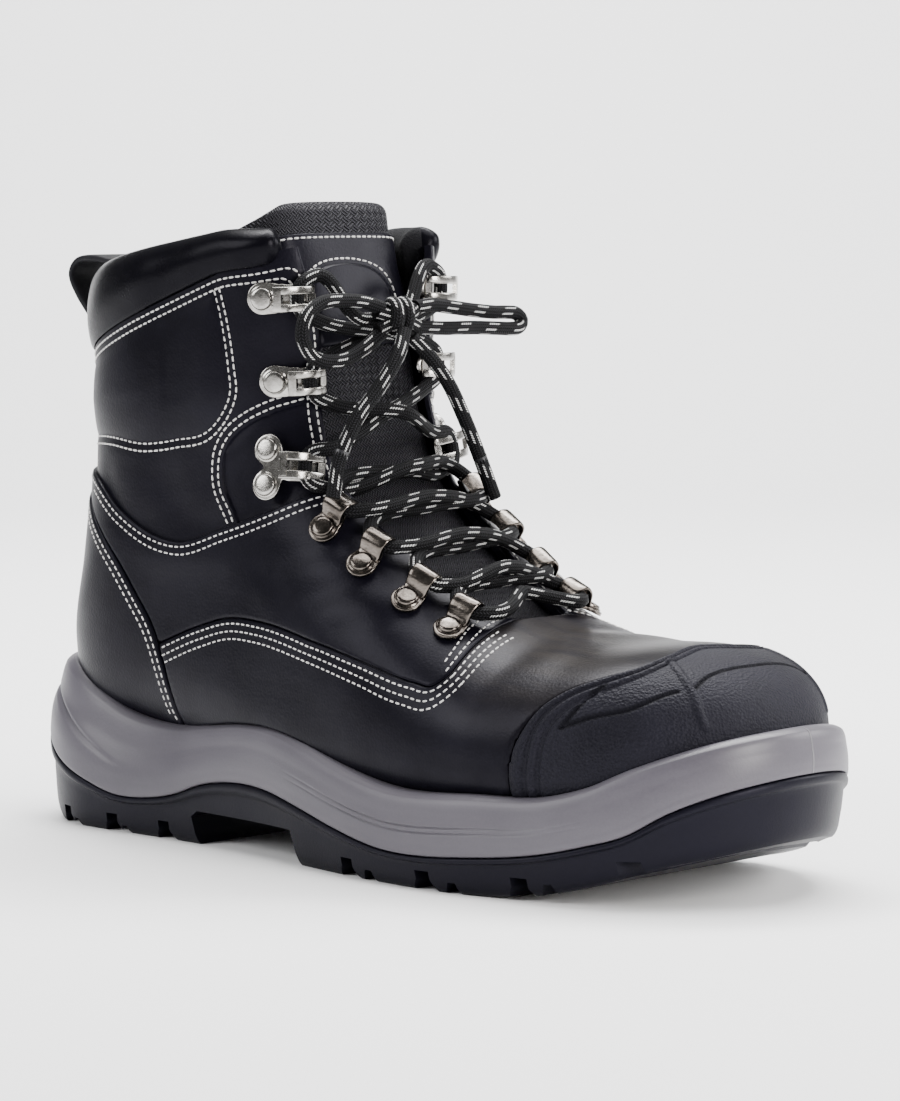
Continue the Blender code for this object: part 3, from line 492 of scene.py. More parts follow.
def in_grids(grids, i, j):
    """Values of grids at fractional rows and columns, where columns past the last start again."""
    low, left = np.floor(i).astype(int), np.floor(j).astype(int)
    f, g = (i - low)[..., None], (j - left)[..., None]
    wide = grids[0].shape[1]
    left, right = left % wide, (left + 1) % wide
    return [(1 - f) * ((1 - g) * grid[low, left] + g * grid[low, right])
            + f * ((1 - g) * grid[low + 1, left] + g * grid[low + 1, right]) for grid in grids]


def on_form(rows, turns, offset=0.0, parts=False):
    """Points at rows and turns of the form, moved out along its normals, or the points and the normals."""
    rows, turns, offset = np.broadcast_arrays(*(np.asarray(v, float) for v in (rows, turns, offset)))
    i = np.clip(rows / FORM_STEP, 0, len(form_points) - 1.001)
    point, normal = in_grids((form_points, form_normals), i, np.mod(turns, 2) * FORM_AROUND / 2)
    normal = unit(normal)
    return (point, normal) if parts else point + offset[..., None] * normal


def form_solid(name, offset, last, rows=150, around=200):
    """The whole form as a closed solid up to the last row."""
    at = np.linspace(FIRST_ROW, last, rows)[:, None]
    return solid_piece(name, *loft(on_form(at, np.arange(around)[None] * 2 / around, offset)))


midsole_foam = Finish("midsole_foam", {"Specular IOR Level": 0.4})
streak = midsole_foam.place.noise(14, 3, 0.55, (0.12, 0.12, 2.0))
grain = midsole_foam.place.noise(0.9, 2, 0.6)
cloud = midsole_foam.place.noise(38, 2)
shade = streak * 0.3 + cloud * 0.5 + grain * 0.2
_, y, _ = midsole_foam.split(midsole_foam.place)
mould_line = (y - MOULD_LINE).absolute().ramp(0.00015, 0.0005, 1.0, 0.0)
tone = shade.ramp(0.25, 0.75).tint((0.061, 0.0560, 0.0685), (0.088, 0.0815, 0.0970))
midsole_foam.feed(
    colour=(mould_line * 0.4).over(tone, grain.tint((0.17, 0.165, 0.175), (0.24, 0.235, 0.245))),
    roughness=0.28 + 0.16 * cloud + 0.12 * grain,
    normal=(streak * 0.25 + grain * 0.75).bump(0.05, mould_line.bump(0.3)))


def midsole_ring(share):
    """One ring of the midsole's side at a share of its height, with the folds pressed in."""

    def inset(x):
        heel, fore = (curve(MIDSOLE_BANDS, share, column) for column in (1, 2))
        total = heel + (fore - heel) * fore_share(x)
        for table, above, width in FOLDS:
            away = (share - above - curve(table, x, 1)) / width
            total = total + np.maximum(curve(table, x, 2), 0.0) * np.exp(-away * away)
        return total

    return sole_ring(
        inset, lambda x: share * curve(HEIGHTS, x, TOP) + (1 - share) * curve(HEIGHTS, x, PARTING))


lip = 1 - 0.07 * np.linspace(0, 1, 14) ** 2
rings = [midsole_ring(share) for share in np.concatenate([lip, np.linspace(0.92, 0.0, 93)])]
rings.append(sole_ring(lambda x: RIM_WIDTH + GAP, lambda x: curve(HEIGHTS, x, PARTING)))
rings.append(sole_ring(lambda x: RIM_WIDTH + 2 * GAP, lambda x: curve(HEIGHTS, x, UNDER)))
midsole = sole_solid("midsole_cup", rings)
carve(midsole, form_solid("cup_cutter", GAP, RIM))
dress(midsole, "midsole_foam", [midsole_foam], "midsole")

# Insole: a napped footbed of dark lining fabric that lies in the cup, inside the foot of the upper.
# It has the shape of the lasted form, cut off a little above the floor of the cup.
WALL, BED_RISE = 2.6, 4.8
insole_fabric = Finish("insole_fabric", {"Sheen Weight": 0.4, "Sheen Roughness": 0.5})
nap = insole_fabric.place.noise(0.6, 3, 0.7)
cloud = insole_fabric.place.noise(18, 2)
insole_fabric.feed(
    colour=(nap * 0.6 + cloud * 0.4).tint((0.02, 0.02, 0.023), (0.085, 0.085, 0.092)),
    roughness=0.8 + nap * 0.2,
    normal=nap.bump(0.5))
insole = form_solid("insole_bed", -WALL - GAP, RIM)
insole.data.transform(Matrix.Translation((0, 0, -WALL * MM)))
floor_rows = along(SECTIONS, np.arange(1, 12))
bed = [(160.0, 0.0), (160.0, 38.5), (145.0, 37.5)] + [(r[0], r[1] + BED_RISE) for r in floor_rows]
carve(insole, side_prism("bed_cutter", bed + [(-150.0, 38.5), (-150.0, 0.0)]), "INTERSECT")
dress(insole, "insole_fabric", [insole_fabric], "insole")

# Upper: one shell of smooth black leather, lined inside, lasted under the foot and open along the throat.
# Above the wave it shows a padded ankle panel and a recessed window of thinner leather round the lock hook.

# Half of the throat's width, by row
THROAT = np.array([
    (5.50, 5.0), (5.60, 11.0), (5.85, 15.5), (6.4, 17.5), (7.2, 20.5), (8.2, 24.5), (8.9, 26.0), (10.0, 25.5),
    (12.0, 24.5), (14.0, 27.0), (15.5, 30.0), (17.0, 32.0), (18.0, 33.0)])
# Soft troughs and ridges of the worn-in leather: route of rows and shares, depth, width
CREASES = (
    (((5.0, 0.97), (4.8, 0.85), (4.75, 0.72), (4.9, 0.6)), -0.7, 5.5),
    (((4.55, 1.0), (4.35, 0.88), (4.3, 0.76)), 0.5, 6.0),
    (((6.3, 0.76), (6.7, 0.68), (7.3, 0.61)), -0.8, 5.0),
    (((7.05, 0.76), (7.6, 0.67), (8.3, 0.60)), -0.8, 5.0),
    (((7.85, 0.76), (8.4, 0.68), (9.0, 0.62)), -0.7, 5.0),
    (((6.6, 0.75), (7.1, 0.66), (7.7, 0.58)), 0.6, 6.0),
    (((7.45, 0.75), (8.0, 0.66), (8.7, 0.57)), 0.5, 6.0),
    (((12.2, 0.52), (11.2, 0.56), (10.5, 0.60), (10.0, 0.66)), -0.9, 7.0),
    (((11.4, 0.46), (10.6, 0.52), (9.8, 0.57)), 0.6, 6.0),
    (((13.6, 0.30), (12.6, 0.38), (12.0, 0.45)), -0.7, 5.0),
    (((10.7, 0.69), (10.9, 0.72), (11.0, 0.76)), -0.45, 1.5),
    (((10.3, 0.68), (10.5, 0.72), (10.4, 0.76)), -0.4, 1.4),
    (((11.4, 0.69), (11.3, 0.73), (11.3, 0.78)), -0.4, 1.5),
    (((9.9, 0.66), (10.15, 0.69), (10.1, 0.72)), -0.35, 1.4))
ANKLE_PANEL = ((16.2, 0.617), (14.72, 0.65), (13.4, 0.675), (12.75, 0.685), (12.5, 0.672), (12.42, 0.635),
               (13.0, 0.53), (13.5, 0.44), (14.2, 0.32), (14.75, 0.15), (14.9, 0.0))
WINDOW = ((10.62, 0.90), (10.95, 0.835), (11.33, 0.785), (11.62, 0.735), (11.72, 0.695), (11.62, 0.672),
          (11.2, 0.655), (10.6, 0.640), (9.6, 0.600))
CREASE_SHARE, FAR = 0.6, 99.0
# Columns of a sheet of leather: place 0 to 2, normal 3 to 5, row, turn, then its distances to the edges
ROW, TURN = 6, 7


def smooth_run(points, step, places=None):
    """A smooth line through points, about a step apart as the points lie, or as their places do."""
    points = np.asarray(points, float)
    run = run_along(points if places is None else places)
    table = np.column_stack([run, points])
    at = np.linspace(0, run[-1], max(8, int(run[-1] / step)))
    return np.column_stack([curve(table, at, column) for column in range(1, table.shape[1])])


def route_points(route, step=0.8):
    """A smooth run of rows and shares through a route, about a step apart on the form."""
    return smooth_run(route, step, on_form(*np.transpose(route)))


def to_line(points, line):
    """Distance of points to a line through corners, in any number of dimensions."""
    best = np.full(len(points), np.inf)
    for a, b in zip(line[:-1], line[1:]):
        way = b - a
        f = np.clip((points - a) @ way / max(way @ way, 1e-9), 0, 1)
        best = np.minimum(best, ((points - a - f[:, None] * way) ** 2).sum(axis=1))
    return np.sqrt(best)


def within(points, outline):
    """Whether flat points lie inside an outline."""
    inside = np.zeros(len(points), bool)
    for a, b in zip(outline, np.roll(outline, -1, axis=0)):
        crosses = (a[1] > points[:, 1]) != (b[1] > points[:, 1])
        if crosses.any():
            at = a[0] + (points[:, 1] - a[1]) * (b[0] - a[0]) / (b[1] - a[1] if b[1] != a[1] else 1e-9)
            inside ^= crosses & (points[:, 0] < at)
    return inside


def flat_edge(points, outline):
    """Signed distance of flat points to a closed outline, positive inside."""
    outline = np.asarray(outline, float)
    distance = to_line(points, np.vstack([outline, outline[:1]]))
    return np.where(within(points, outline), distance, -distance)


def form_edge(sheet, route, closing):
    """Signed distance on the form to a route of rows and shares on both sides, positive inside."""
    line = route_points(route)
    share = np.where(sheet[:, TURN] <= 1, sheet[:, TURN], 2 - sheet[:, TURN])
    inside = within(np.column_stack([sheet[:, ROW], share]), np.vstack([line, closing]))
    outer = sheet[:, TURN] <= 1
    distance = np.empty(len(sheet))
    for side, turns in ((outer, line[:, 1]), (~outer, 2 - line[:, 1])):
        distance[side] = to_line(sheet[side, :3], on_form(line[:, 0], turns))
    return np.where(inside, distance, -distance)


def leather_sheet(rows, around):
    """Values at each point of the creased form, and its faces."""
    at = np.linspace(FIRST_ROW, SHELL_TOP, rows)[:, None]
    turns = (np.arange(around) * 2 / around)[None]
    points, normals = on_form(at, turns, parts=True)
    flat = points.reshape(-1, 3)
    lift = np.zeros(len(flat))
    for route, depth, width in CREASES:
        line = route_points(route, 3.0)
        for turn in (line[:, 1], 2 - line[:, 1]):
            away = to_line(flat, on_form(line[:, 0], turn))
            lift += CREASE_SHARE * depth * np.exp(-(away / width) ** 2)
    points = points + lift.reshape(rows, around)[:, :, None] * normals
    normals = normals_of(points)
    full = np.broadcast_to(at, (rows, around)), np.broadcast_to(turns, (rows, around))
    sheet = np.column_stack([points.reshape(-1, 3), normals.reshape(-1, 3), full[0].ravel(), full[1].ravel()])
    i, j = np.meshgrid(np.arange(rows - 1), np.arange(around), indexing="ij")
    k = (j + 1) % around
    faces = np.stack([i * around + j, i * around + k, (i + 1) * around + k, (i + 1) * around + j], -1)
    return sheet, faces.reshape(-1, 4).tolist()


def throat_edge(sheet):
    """Distance outside the throat's slot."""
    middle = along(SECTIONS[:, 8:], sheet[:, ROW]).sum(axis=1)
    ahead = sheet[:, ROW] < THROAT[0, 0]
    half = np.where(ahead, -30.0, curve(THROAT, sheet[:, ROW]))
    end = np.linalg.norm(sheet[:, :3] - on_form(THROAT[0, 0], 1.0), axis=1)
    under = np.where(np.abs(sheet[:, TURN] - 1) > 0.5, FAR, 0.0)
    return np.minimum(np.abs(sheet[:, 1] - middle) - half, np.where(ahead, end, FAR)) + under


def sole_edge(sheet):
    """Height over the top edge of the midsole."""
    x = sheet[:, 0] + 3.6 * np.clip((sheet[:, 0] - 118) / 20, 0, 1)
    return sheet[:, 2] - curve(HEIGHTS, x, TOP) - 0.15


def trimmed(sheet, faces, column, level, both=False):
    """Splits faces along a level line of one column, and drops those below it unless both are kept."""
    height = sheet[:, column] - level
    up = (height > 0).tolist()
    kept, extra, made = [], [], {}
    for face in faces:
        high = sum(up[i] for i in face)
        if high == len(face) or (high == 0 and both):
            kept.append(face)
        if high in (0, len(face)):
            continue
        above, below = [], []
        for a, b in zip(face, face[1:] + face[:1]):
            (above if up[a] else below).append(a)
            if up[a] != up[b]:
                key = (min(a, b), max(a, b))
                if key not in made:
                    f = height[a] / (height[a] - height[b])
                    made[key] = len(sheet) + len(extra)
                    extra.append(sheet[a] + f * (sheet[b] - sheet[a]))
                above.append(made[key])
                below.append(made[key])
        kept.append(above)
        if both:
            kept.append(below)
    return (np.vstack([sheet, extra]) if extra else sheet), kept


def level_lines(sheet, faces, column, level):
    """Level lines of one column over a sheet, each the values at its points in order."""
    up = sheet[:, column] > level
    corners = np.array(faces)
    mixed = up[corners].sum(axis=1)
    joins = {}
    for face in corners[(mixed > 0) & (mixed < corners.shape[1])].tolist():
        ends = [(min(a, b), max(a, b)) for a, b in zip(face, face[1:] + face[:1]) if up[a] != up[b]]
        if len(ends) == 2:
            joins.setdefault(ends[0], []).append(ends[1])
            joins.setdefault(ends[1], []).append(ends[0])
    lines, seen = [], set()
    for start in sorted(joins, key=lambda e: (len(joins[e]), e)):
        line, at = [], start
        while at is not None and at not in seen:
            seen.add(at)
            line.append(at)
            at = next((e for e in joins[at] if e not in seen), None)
        if len(line) > 3:
            a, b = np.array(line).T
            f = ((level - sheet[a, column]) / (sheet[b, column] - sheet[a, column]))[:, None]
            lines.append(sheet[a] + f * (sheet[b] - sheet[a]))
    return lines


stitch_lines = []


def sew(lines, lift, keep):
    """Marks rows of stitches where a test holds, at a lift over the sheet or one worked out from a line."""
    for line in lines:
        good = keep(line)
        offset = lift(line) if callable(lift) else lift
        runs = np.split(np.arange(len(line)), np.flatnonzero(np.diff(good.astype(int))) + 1)
        for run in runs:
            if good[run[0]] and len(run) > 4:
                face = line[run, :3] + line[run, 3:6] * np.broadcast_to(offset, len(line))[run, None]
                stitch_lines.append((face, line[run, 3:6]))


def leather_piece(name, sheet, faces, front, back):
    """A closed piece over a trimmed sheet, with its face and its back at given offsets and a rim between."""
    used = np.unique(np.concatenate([np.array(f) for f in faces]))
    number = np.zeros(len(sheet), int)
    number[used] = np.arange(len(used))
    sheet, front = sheet[used], np.broadcast_to(front, len(sheet))[used]
    back = np.broadcast_to(back, len(number))[used]
    faces = [[int(number[i]) for i in face] for face in faces]
    count = len(sheet)
    edges = dict.fromkeys(pair for face in faces for pair in zip(face, face[1:] + face[:1]))
    rim = [(b, a, a + count, b + count) for a, b in edges if (b, a) not in edges]
    points = np.vstack([sheet[:, :3] + offset[:, None] * sheet[:, 3:6] for offset in (front, back)])
    mesh = bpy.data.meshes.new(name)
    backs = [[i + count for i in face[::-1]] for face in faces]
    mesh.from_pydata((points * MM).tolist(), [], faces + backs + rim)
    kinds = [0] * len(faces) + [1] * len(backs) + [2] * len(rim)
    mesh.polygons.foreach_set("material_index", kinds)
    smoothed(mesh, 50)
    return placed(name, mesh)


# Middle of a painted warm highlight on the vamp's top front, in metres
WARM_SHEEN_SPOT = (0.078, -0.012, 0.070)
LEATHER_TONES = ((0.0020, 0.0018, 0.0034), (0.0060, 0.0056, 0.0096))


def leather_finish(name, tones, gloss, grain_size, depth, shine=0.075, paint_warm_sheen=False):
    """Black leather: fine pebbled grain, soft cloudy sheen, a few rubbed spots and, if asked, a painted warm
    highlight.
    """
    made = Finish(name, {"Specular IOR Level": shine, "Specular Tint": (0.88, 0.85, 1.0, 1.0),
                         "Coat Roughness": 0.3})
    cells = made.place.cells(grain_size, 0.35)
    fine = made.place.noise(grain_size * 0.6, 3, 0.6)
    cloud = made.place.noise(34, 3, 0.55)
    pull = made.place.noise(11, 2, 0.5, (0.5, 1.0, 1.6))
    rub = made.place.noise(5, 4, 0.75).ramp(0.62, 0.82)
    tone = cloud * 0.6 + pull * 0.2 + fine * 0.2 + rub * 0.12
    colour = tone.ramp(0.25, 0.85).tint(*tones)
    if paint_warm_sheen:
        # Painted warm highlight: the base colour turns lighter and warmer in streaks round one spot on the
        # vamp's top.
        away = made.wire.node("ShaderNodeVectorMath", {"operation": "DISTANCE"},
                              {0: made.place, 1: WARM_SHEEN_SPOT}, 1)
        streaks = made.place.noise(9, 3, 0.6, (0.4, 2.0, 1.0)).ramp(0.3, 0.7, 0.35, 1.0)
        warm = fine.tint((0.013, 0.0112, 0.0098), (0.024, 0.0208, 0.0182))
        colour = (away.ramp(0.010, 0.052, 1.0, 0.0) * streaks).over(colour, warm)
    made.feed(
        colour=colour,
        roughness=gloss + cloud * 0.16 + rub * 0.12 - pull * 0.06,
        coat=cloud.ramp(0.35, 0.75, 0.0, 0.06),
        normal=(cells * 0.55 + fine * 0.45).bump(depth, (pull * 0.7 + cloud * 0.3).bump(0.16)))
    return made


leather = leather_finish("smooth_leather", LEATHER_TONES, 0.31, 0.9, 0.07)
# The vamp's leather carries the painted warm highlight on its top front.
vamp_leather = leather_finish("leather_with_painted_sheen", LEATHER_TONES, 0.31, 0.9, 0.07, paint_warm_sheen=True)
raw_edge = Finish("cut_leather_edge", {"Specular IOR Level": 0.3})
fibre = raw_edge.place.noise(0.7, 3, 0.7)
raw_edge.feed(colour=fibre.tint((0.004, 0.004, 0.005), (0.022, 0.021, 0.022)), roughness=0.6 + fibre * 0.3,
              normal=fibre.bump(0.25))
lining = Finish("fuzzy_lining", {"Sheen Weight": 0.08, "Sheen Roughness": 0.5, "Specular IOR Level": 0.1})
nap = lining.place.noise(0.8, 3, 0.75)
lining.feed(colour=nap.tint((0.002, 0.002, 0.003), (0.016, 0.016, 0.019)), roughness=0.85 + nap * 0.15,
            normal=nap.bump(0.6))

sheet, faces = leather_sheet(190, 216)
floor_line = np.array([(-150.0, 40.0)] + [(r[0], r[1] + 5.0) for r in floor_rows[::-1]]
                      + [(145.0, 40.0), (160.0, 42.0)])
under_edge = sheet[:, 2] - np.interp(sheet[:, 0], floor_line[:, 0], floor_line[:, 1])
window = form_edge(sheet, WINDOW, [(8.5, 0.62), (8.5, 0.92)])
ankle = form_edge(sheet, ANKLE_PANEL, [(14.9, -0.3), (16.2, -0.3)])
COLLAR_END, COLLAR_DIP = 0.787, 0.42


def collar_dip(turns):
    """Share of the collar's sag at its front ends."""
    return ease(((1 - np.abs(np.mod(turns, 2) - 1)) / COLLAR_END - 0.80) / 0.20)


turns = np.linspace(0, 2, 321)
top_line = on_form(SHELL_TOP - COLLAR_DIP * collar_dip(turns), turns)
top_edge = np.full(len(sheet), 60.0)
high = sheet[:, ROW] > 13.5
top_edge[high] = to_line(sheet[high, :3], top_line)
OPEN, SOLE, WINDOW_IN, ANKLE_IN, HEM = 8, 9, 10, 11, 12
STITCH_ROWS, STITCH_LIFT = (1.7, 4.1), 0.12
WINDOW_STEP, WINDOW_DEPTH = (0.8, 1.4), 0.9
ANKLE_SWELL, SWELL_RUN, HEM_WIDTH = 1.7, 7.0, 5.2
CUT_EDGE, CUT_DEPTH = 0.5, 0.35
opening = np.minimum(throat_edge(sheet), under_edge)
hem = -2.0 * np.log(np.exp(-np.clip(opening, -20, 60) / 2.0) + np.exp(-top_edge / 2.0))
sheet = np.column_stack([sheet, opening, sole_edge(sheet), window, ankle, hem])
window_rows = [level_lines(sheet, faces, WINDOW_IN, away) for away in (-0.6, -3.0)]
ankle_rows = [level_lines(sheet, faces, ANKLE_IN, away) for away in (-0.4, -2.8)]
hem_rows = [level_lines(sheet, faces, HEM, away) for away in STITCH_ROWS]
sheet, faces = trimmed(sheet, faces, OPEN, 0.0)
for column, level in ((OPEN, CUT_EDGE), (WINDOW_IN, WINDOW_STEP[0]), (WINDOW_IN, WINDOW_STEP[1]),
                      (ANKLE_IN, 0.3), (ANKLE_IN, 1.2)):
    sheet, faces = trimmed(sheet, faces, column, level, True)


def upper_lift(values):
    """Relief of the shell's face: the window's step down, the ankle panel's swell and the cut edges."""
    step = -WINDOW_DEPTH * np.interp(values[:, WINDOW_IN], WINDOW_STEP, (0.0, 1.0))
    deep = np.clip(np.minimum(values[:, ANKLE_IN] - 0.8, values[:, HEM] - HEM_WIDTH), 0, None)
    seam = -0.35 * np.exp(-((values[:, ANKLE_IN] + 0.4) / 0.9) ** 2)
    edge = -CUT_DEPTH * np.clip(1 - values[:, OPEN] / CUT_EDGE, 0, 1) ** 2
    return step + ANKLE_SWELL * (1 - np.exp(-deep / SWELL_RUN)) + seam + edge


upper = leather_piece("upper_shell", sheet, faces, upper_lift(sheet), -WALL)
leather_layers = [leather, lining, raw_edge]
dress(upper, "leather", leather_layers, "upper")

# Panels of the upper: the vamp wraps the foot, a quarter on each side carries the lace loops, and a counter
# stiffens the heel. All are cut from the same black leather, thinned at the edges and sewn on with white
# thread.
PANEL, VAMP, COUNTER = 1.2, 1.5, 1.7
TRIPLE_ROWS = (1.6, 4.0, 6.4)
THINNED = (0.25, 0.9)

# Edges of the panels, x and z in side view
WAVE = ((-150.0, 118.0), (-125.0, 117.5), (-111.0, 114.2), (-95.6, 105.2), (-81.6, 98.6), (-69.6, 96.6),
        (-51.0, 101.5), (-29.4, 108.5), (-16.2, 113.7), (10.0, 121.0))
COUNTER_EDGE = ((-150.0, 113.0), (-122.0, 109.0), (-107.5, 98.5), (-97.0, 89.0), (-89.0, 79.0), (-81.5, 69.0),
                (-76.0, 57.0), (-72.5, 46.0), (-70.5, 30.0))
TRIPLE = ((-78.0, 63.0), (-60.0, 69.5), (-44.0, 73.5), (-30.0, 73.4), (-3.0, 69.3), (19.4, 64.6),
          (40.0, 59.8), (47.5, 59.2), (50.8, 62.5), (51.0, 66.0), (50.0, 71.0), (46.5, 78.0), (44.0, 90.0))
# Edge of the scuff cap, x and y in plan
CAP_EDGE = ((77.5, -60.0), (79.0, -52.0), (81.5, -50.2), (85.0, -48.2), (90.5, -43.5), (97.0, -39.0),
            (103.7, -34.5), (110.2, -26.6), (111.7, -16.7), (108.8, -2.4))

wave_line, counter_line, half_edge = (smooth_run(edge, 2.0) for edge in (WAVE, COUNTER_EDGE, CAP_EDGE))
triple_line = smooth_run(TRIPLE, 1.0)
cap_line = np.vstack([half_edge, (half_edge * (1, -1))[::-1]])
cap_outline = np.vstack([cap_line, [(170.0, 60.0), (170.0, -60.0)]])
counter_outline = np.vstack([counter_line, [(-160.0, 30.0), (-160.0, 113.0)]])
vamp_outline = np.vstack([
    triple_line, [(160.0, 90.0), (160.0, 20.0), (-69.8, 20.0), (-70.0, 30.0), (-72.0, 46.0), (-75.4, 57.0)]])
quarter_outline = np.vstack([triple_line, [(43.0, 125.0)], wave_line[::-1], [(-150.0, 60.0)]])
THROAT_OUT, SOLE, CAP_IN, COUNTER_IN, TRIPLE_BY, WAVE_BY, EDGE = 8, 9, 10, 11, 12, 13, 14


def panel_sheet(rows, around):
    """The leather sheet with its distances to the throat, the sole and the panels' edges."""
    values, corners = leather_sheet(rows, around)
    form_row = along(SECTIONS, values[:, ROW])
    low = values[:, 2] < form_row[:, 1] + form_row[:, 5] * (form_row[:, 3] - form_row[:, 1])
    widest = form_row[:, 8] + np.sign(values[:, 1] - form_row[:, 8]) * form_row[:, 4]
    side, plan = values[:, [0, 2]], np.column_stack([values[:, 0], np.where(low, widest, values[:, 1])])
    return np.column_stack([
        values, throat_edge(values), sole_edge(values), flat_edge(plan, cap_outline),
        flat_edge(side, counter_outline), to_line(side, triple_line), to_line(side, wave_line)]), corners


def panel(name, inside, thickness, rows=(), by=EDGE):
    """A leather panel where the distance inside its edge is positive, and level lines for its stitches."""
    values, corners = np.column_stack([panel_values, inside]), panel_faces
    lines = [level_lines(values, corners, by, row) for row in rows]
    values, corners = trimmed(values, corners, EDGE, 0.0)
    for level in THINNED:
        values, corners = trimmed(values, corners, EDGE, level, True)
    swell = 0.55 + 0.45 * np.sqrt(1 - (1 - np.clip(values[:, EDGE] / THINNED[1], 0, 1)) ** 2)
    piece = leather_piece(name, values, corners, GAP + thickness * swell, 0.1)
    return piece, lines


panel_values, panel_faces = panel_sheet(250, 290)
side_view = panel_values[:, [0, 2]]
not_cap = -panel_values[:, CAP_IN] - GAP
not_counter = -panel_values[:, COUNTER_IN] - GAP
inside = np.minimum.reduce([flat_edge(side_view, vamp_outline), not_cap, not_counter, panel_values[:, SOLE],
                            panel_values[:, THROAT_OUT]])
vamp, lines = panel("vamp_leather", inside, VAMP, TRIPLE_ROWS, TRIPLE_BY)
for level, rows in zip(TRIPLE_ROWS, lines):
    sew(rows, GAP + VAMP, lambda line: (line[:, EDGE] > THINNED[1]) & (line[:, 2] < 73.5 - level / 3))
dress(vamp, "leather", [vamp_leather, lining, raw_edge], "vamp_panel")

in_quarter = np.minimum.reduce([flat_edge(side_view, quarter_outline) - GAP, not_counter,
                                panel_values[:, THROAT_OUT]])
for name, node, way in (("quarter_outside", "outer_quarter", -1), ("quarter_inside", "inner_quarter", 1)):
    middle = along(SECTIONS[:, 8:], panel_values[:, ROW]).sum(axis=1)
    inside = np.minimum(in_quarter, way * (panel_values[:, 1] - middle) - 0.4)
    quarter, lines = panel(name, inside, PANEL, STITCH_ROWS)
    for level, rows in zip(STITCH_ROWS, lines):
        sew(rows, GAP + PANEL, lambda line: (np.abs(line[:, WAVE_BY] - level) < 0.5) & (line[:, 0] > -131))
        sew(rows, GAP + PANEL, lambda line: (np.abs(line[:, TRIPLE_BY] - level) < 0.8) & (line[:, 0] > 40)
            & (line[:, 2] > 62 + level))
    sew(lines[0], GAP + PANEL,
        lambda line: (np.abs(line[:, THROAT_OUT] - STITCH_ROWS[0]) < 0.4) & (line[:, WAVE_BY] > 5))
    dress(quarter, "leather", leather_layers, node)

inside = np.minimum(panel_values[:, COUNTER_IN], panel_values[:, SOLE])
counter, lines = panel("heel_counter_leather", inside, COUNTER, STITCH_ROWS)
for level, rows in zip(STITCH_ROWS, lines):
    sew(rows, GAP + COUNTER,
        lambda line: (np.abs(line[:, COUNTER_IN] - level) < 0.3) & (line[:, SOLE] > 2.5))
dress(counter, "leather", leather_layers, "heel_counter")

# Scuff cap: a pebbled rubber shell moulded to the toe, with a raised border along its rear edge, thin
# grooves and two ribs. It is bonded over the vamp's front and tucked into the cup of the midsole.
CAP = 2.5
# Grooves and ribs of its face: route of rows and turns, height, width. All but the first lie on both sides.
GROOVE, RIDGE = (-0.65, 0.45), (0.6, 1.15)
CAP_MARKS = [
    (((1.80, 0.715), (1.82, 0.78), (1.80, 0.90), (1.78, 1.0), (1.80, 1.10), (1.82, 1.22), (1.80, 1.285)),
     GROOVE),
    (((3.40, 0.55), (2.95, 0.575), (2.48, 0.60), (1.98, 0.68)), GROOVE),
    (((3.38, 0.552), (3.24, 0.585), (3.10, 0.625), (2.98, 0.655)), GROOVE),
    (((2.52, 0.80), (2.15, 0.75), (1.80, 0.70), (1.40, 0.592)), RIDGE)]
CAP_MARKS += [([(row, 2 - turn) for row, turn in route], form) for route, form in CAP_MARKS[1:]]
# Raised border along the rear edge: distance from the edge, and rise over the cap's face
CAP_BORDER = np.array([
    (0.0, -1.1), (0.25, -0.3), (0.6, 0.15), (1.0, 0.3), (1.4, 0.15), (1.8, -0.6), (2.4, -0.6), (2.8, 0.15),
    (3.2, 0.3), (3.6, 0.15), (4.0, -0.6), (4.7, -0.6), (5.0, 0.0), (90.0, 0.0)])
scuff_rubber = Finish("pebbled_scuff_rubber", {
    "Specular IOR Level": 0.13, "Specular Tint": (0.86, 0.85, 1.0, 1.0)})
pebble = scuff_rubber.place.cells(0.85, 0.25)
fine = scuff_rubber.place.noise(0.5, 3, 0.6)
cloud = scuff_rubber.place.noise(20, 2)
# Painted shade: the cap's colour is darker along its grooves, where shade falls in them.
painted_groove_shade = scuff_rubber.wire.node("ShaderNodeAttribute", {"attribute_name": "painted_groove_shade"}, {}, 2)
tone = cloud * 0.4 + fine * 0.6 - painted_groove_shade * 0.9
scuff_rubber.feed(
    colour=tone.ramp(0.2, 0.8).tint((0.0012, 0.0011, 0.0022), (0.0112, 0.0107, 0.0160)),
    roughness=0.42 + cloud * 0.1 + fine * 0.18 + painted_groove_shade * 0.3,
    normal=(pebble * 0.7 + fine * 0.3).bump(0.34))
values, corners = panel_sheet(600, 500)
corners = [face for face in corners if values[face[0], ROW] < 5.0]
cap_edge = np.minimum(values[:, CAP_IN], values[:, SOLE])
values = np.column_stack([values, cap_edge])
values, corners = trimmed(values, corners, EDGE, 0.0)
for level in THINNED:
    values, corners = trimmed(values, corners, EDGE, level, True)
for level in CAP_BORDER[2:-1, 0]:
    values, corners = trimmed(values, corners, CAP_IN, level, True)
rise = np.interp(values[:, CAP_IN], CAP_BORDER[:, 0], CAP_BORDER[:, 1])
rise = np.minimum(rise, np.interp(values[:, SOLE], (0.0, *THINNED, FAR), (-1.1, -0.4, 0.0, 9.0)))
for route, (height, width) in CAP_MARKS:
    away = to_line(values[:, :3], on_form(*route_points(route).T))
    rise += height * np.exp(-(away / width) ** 4)
scuff_cap = leather_piece("scuff_cap_rubber", values, corners, GAP + CAP + rise, 0.1)
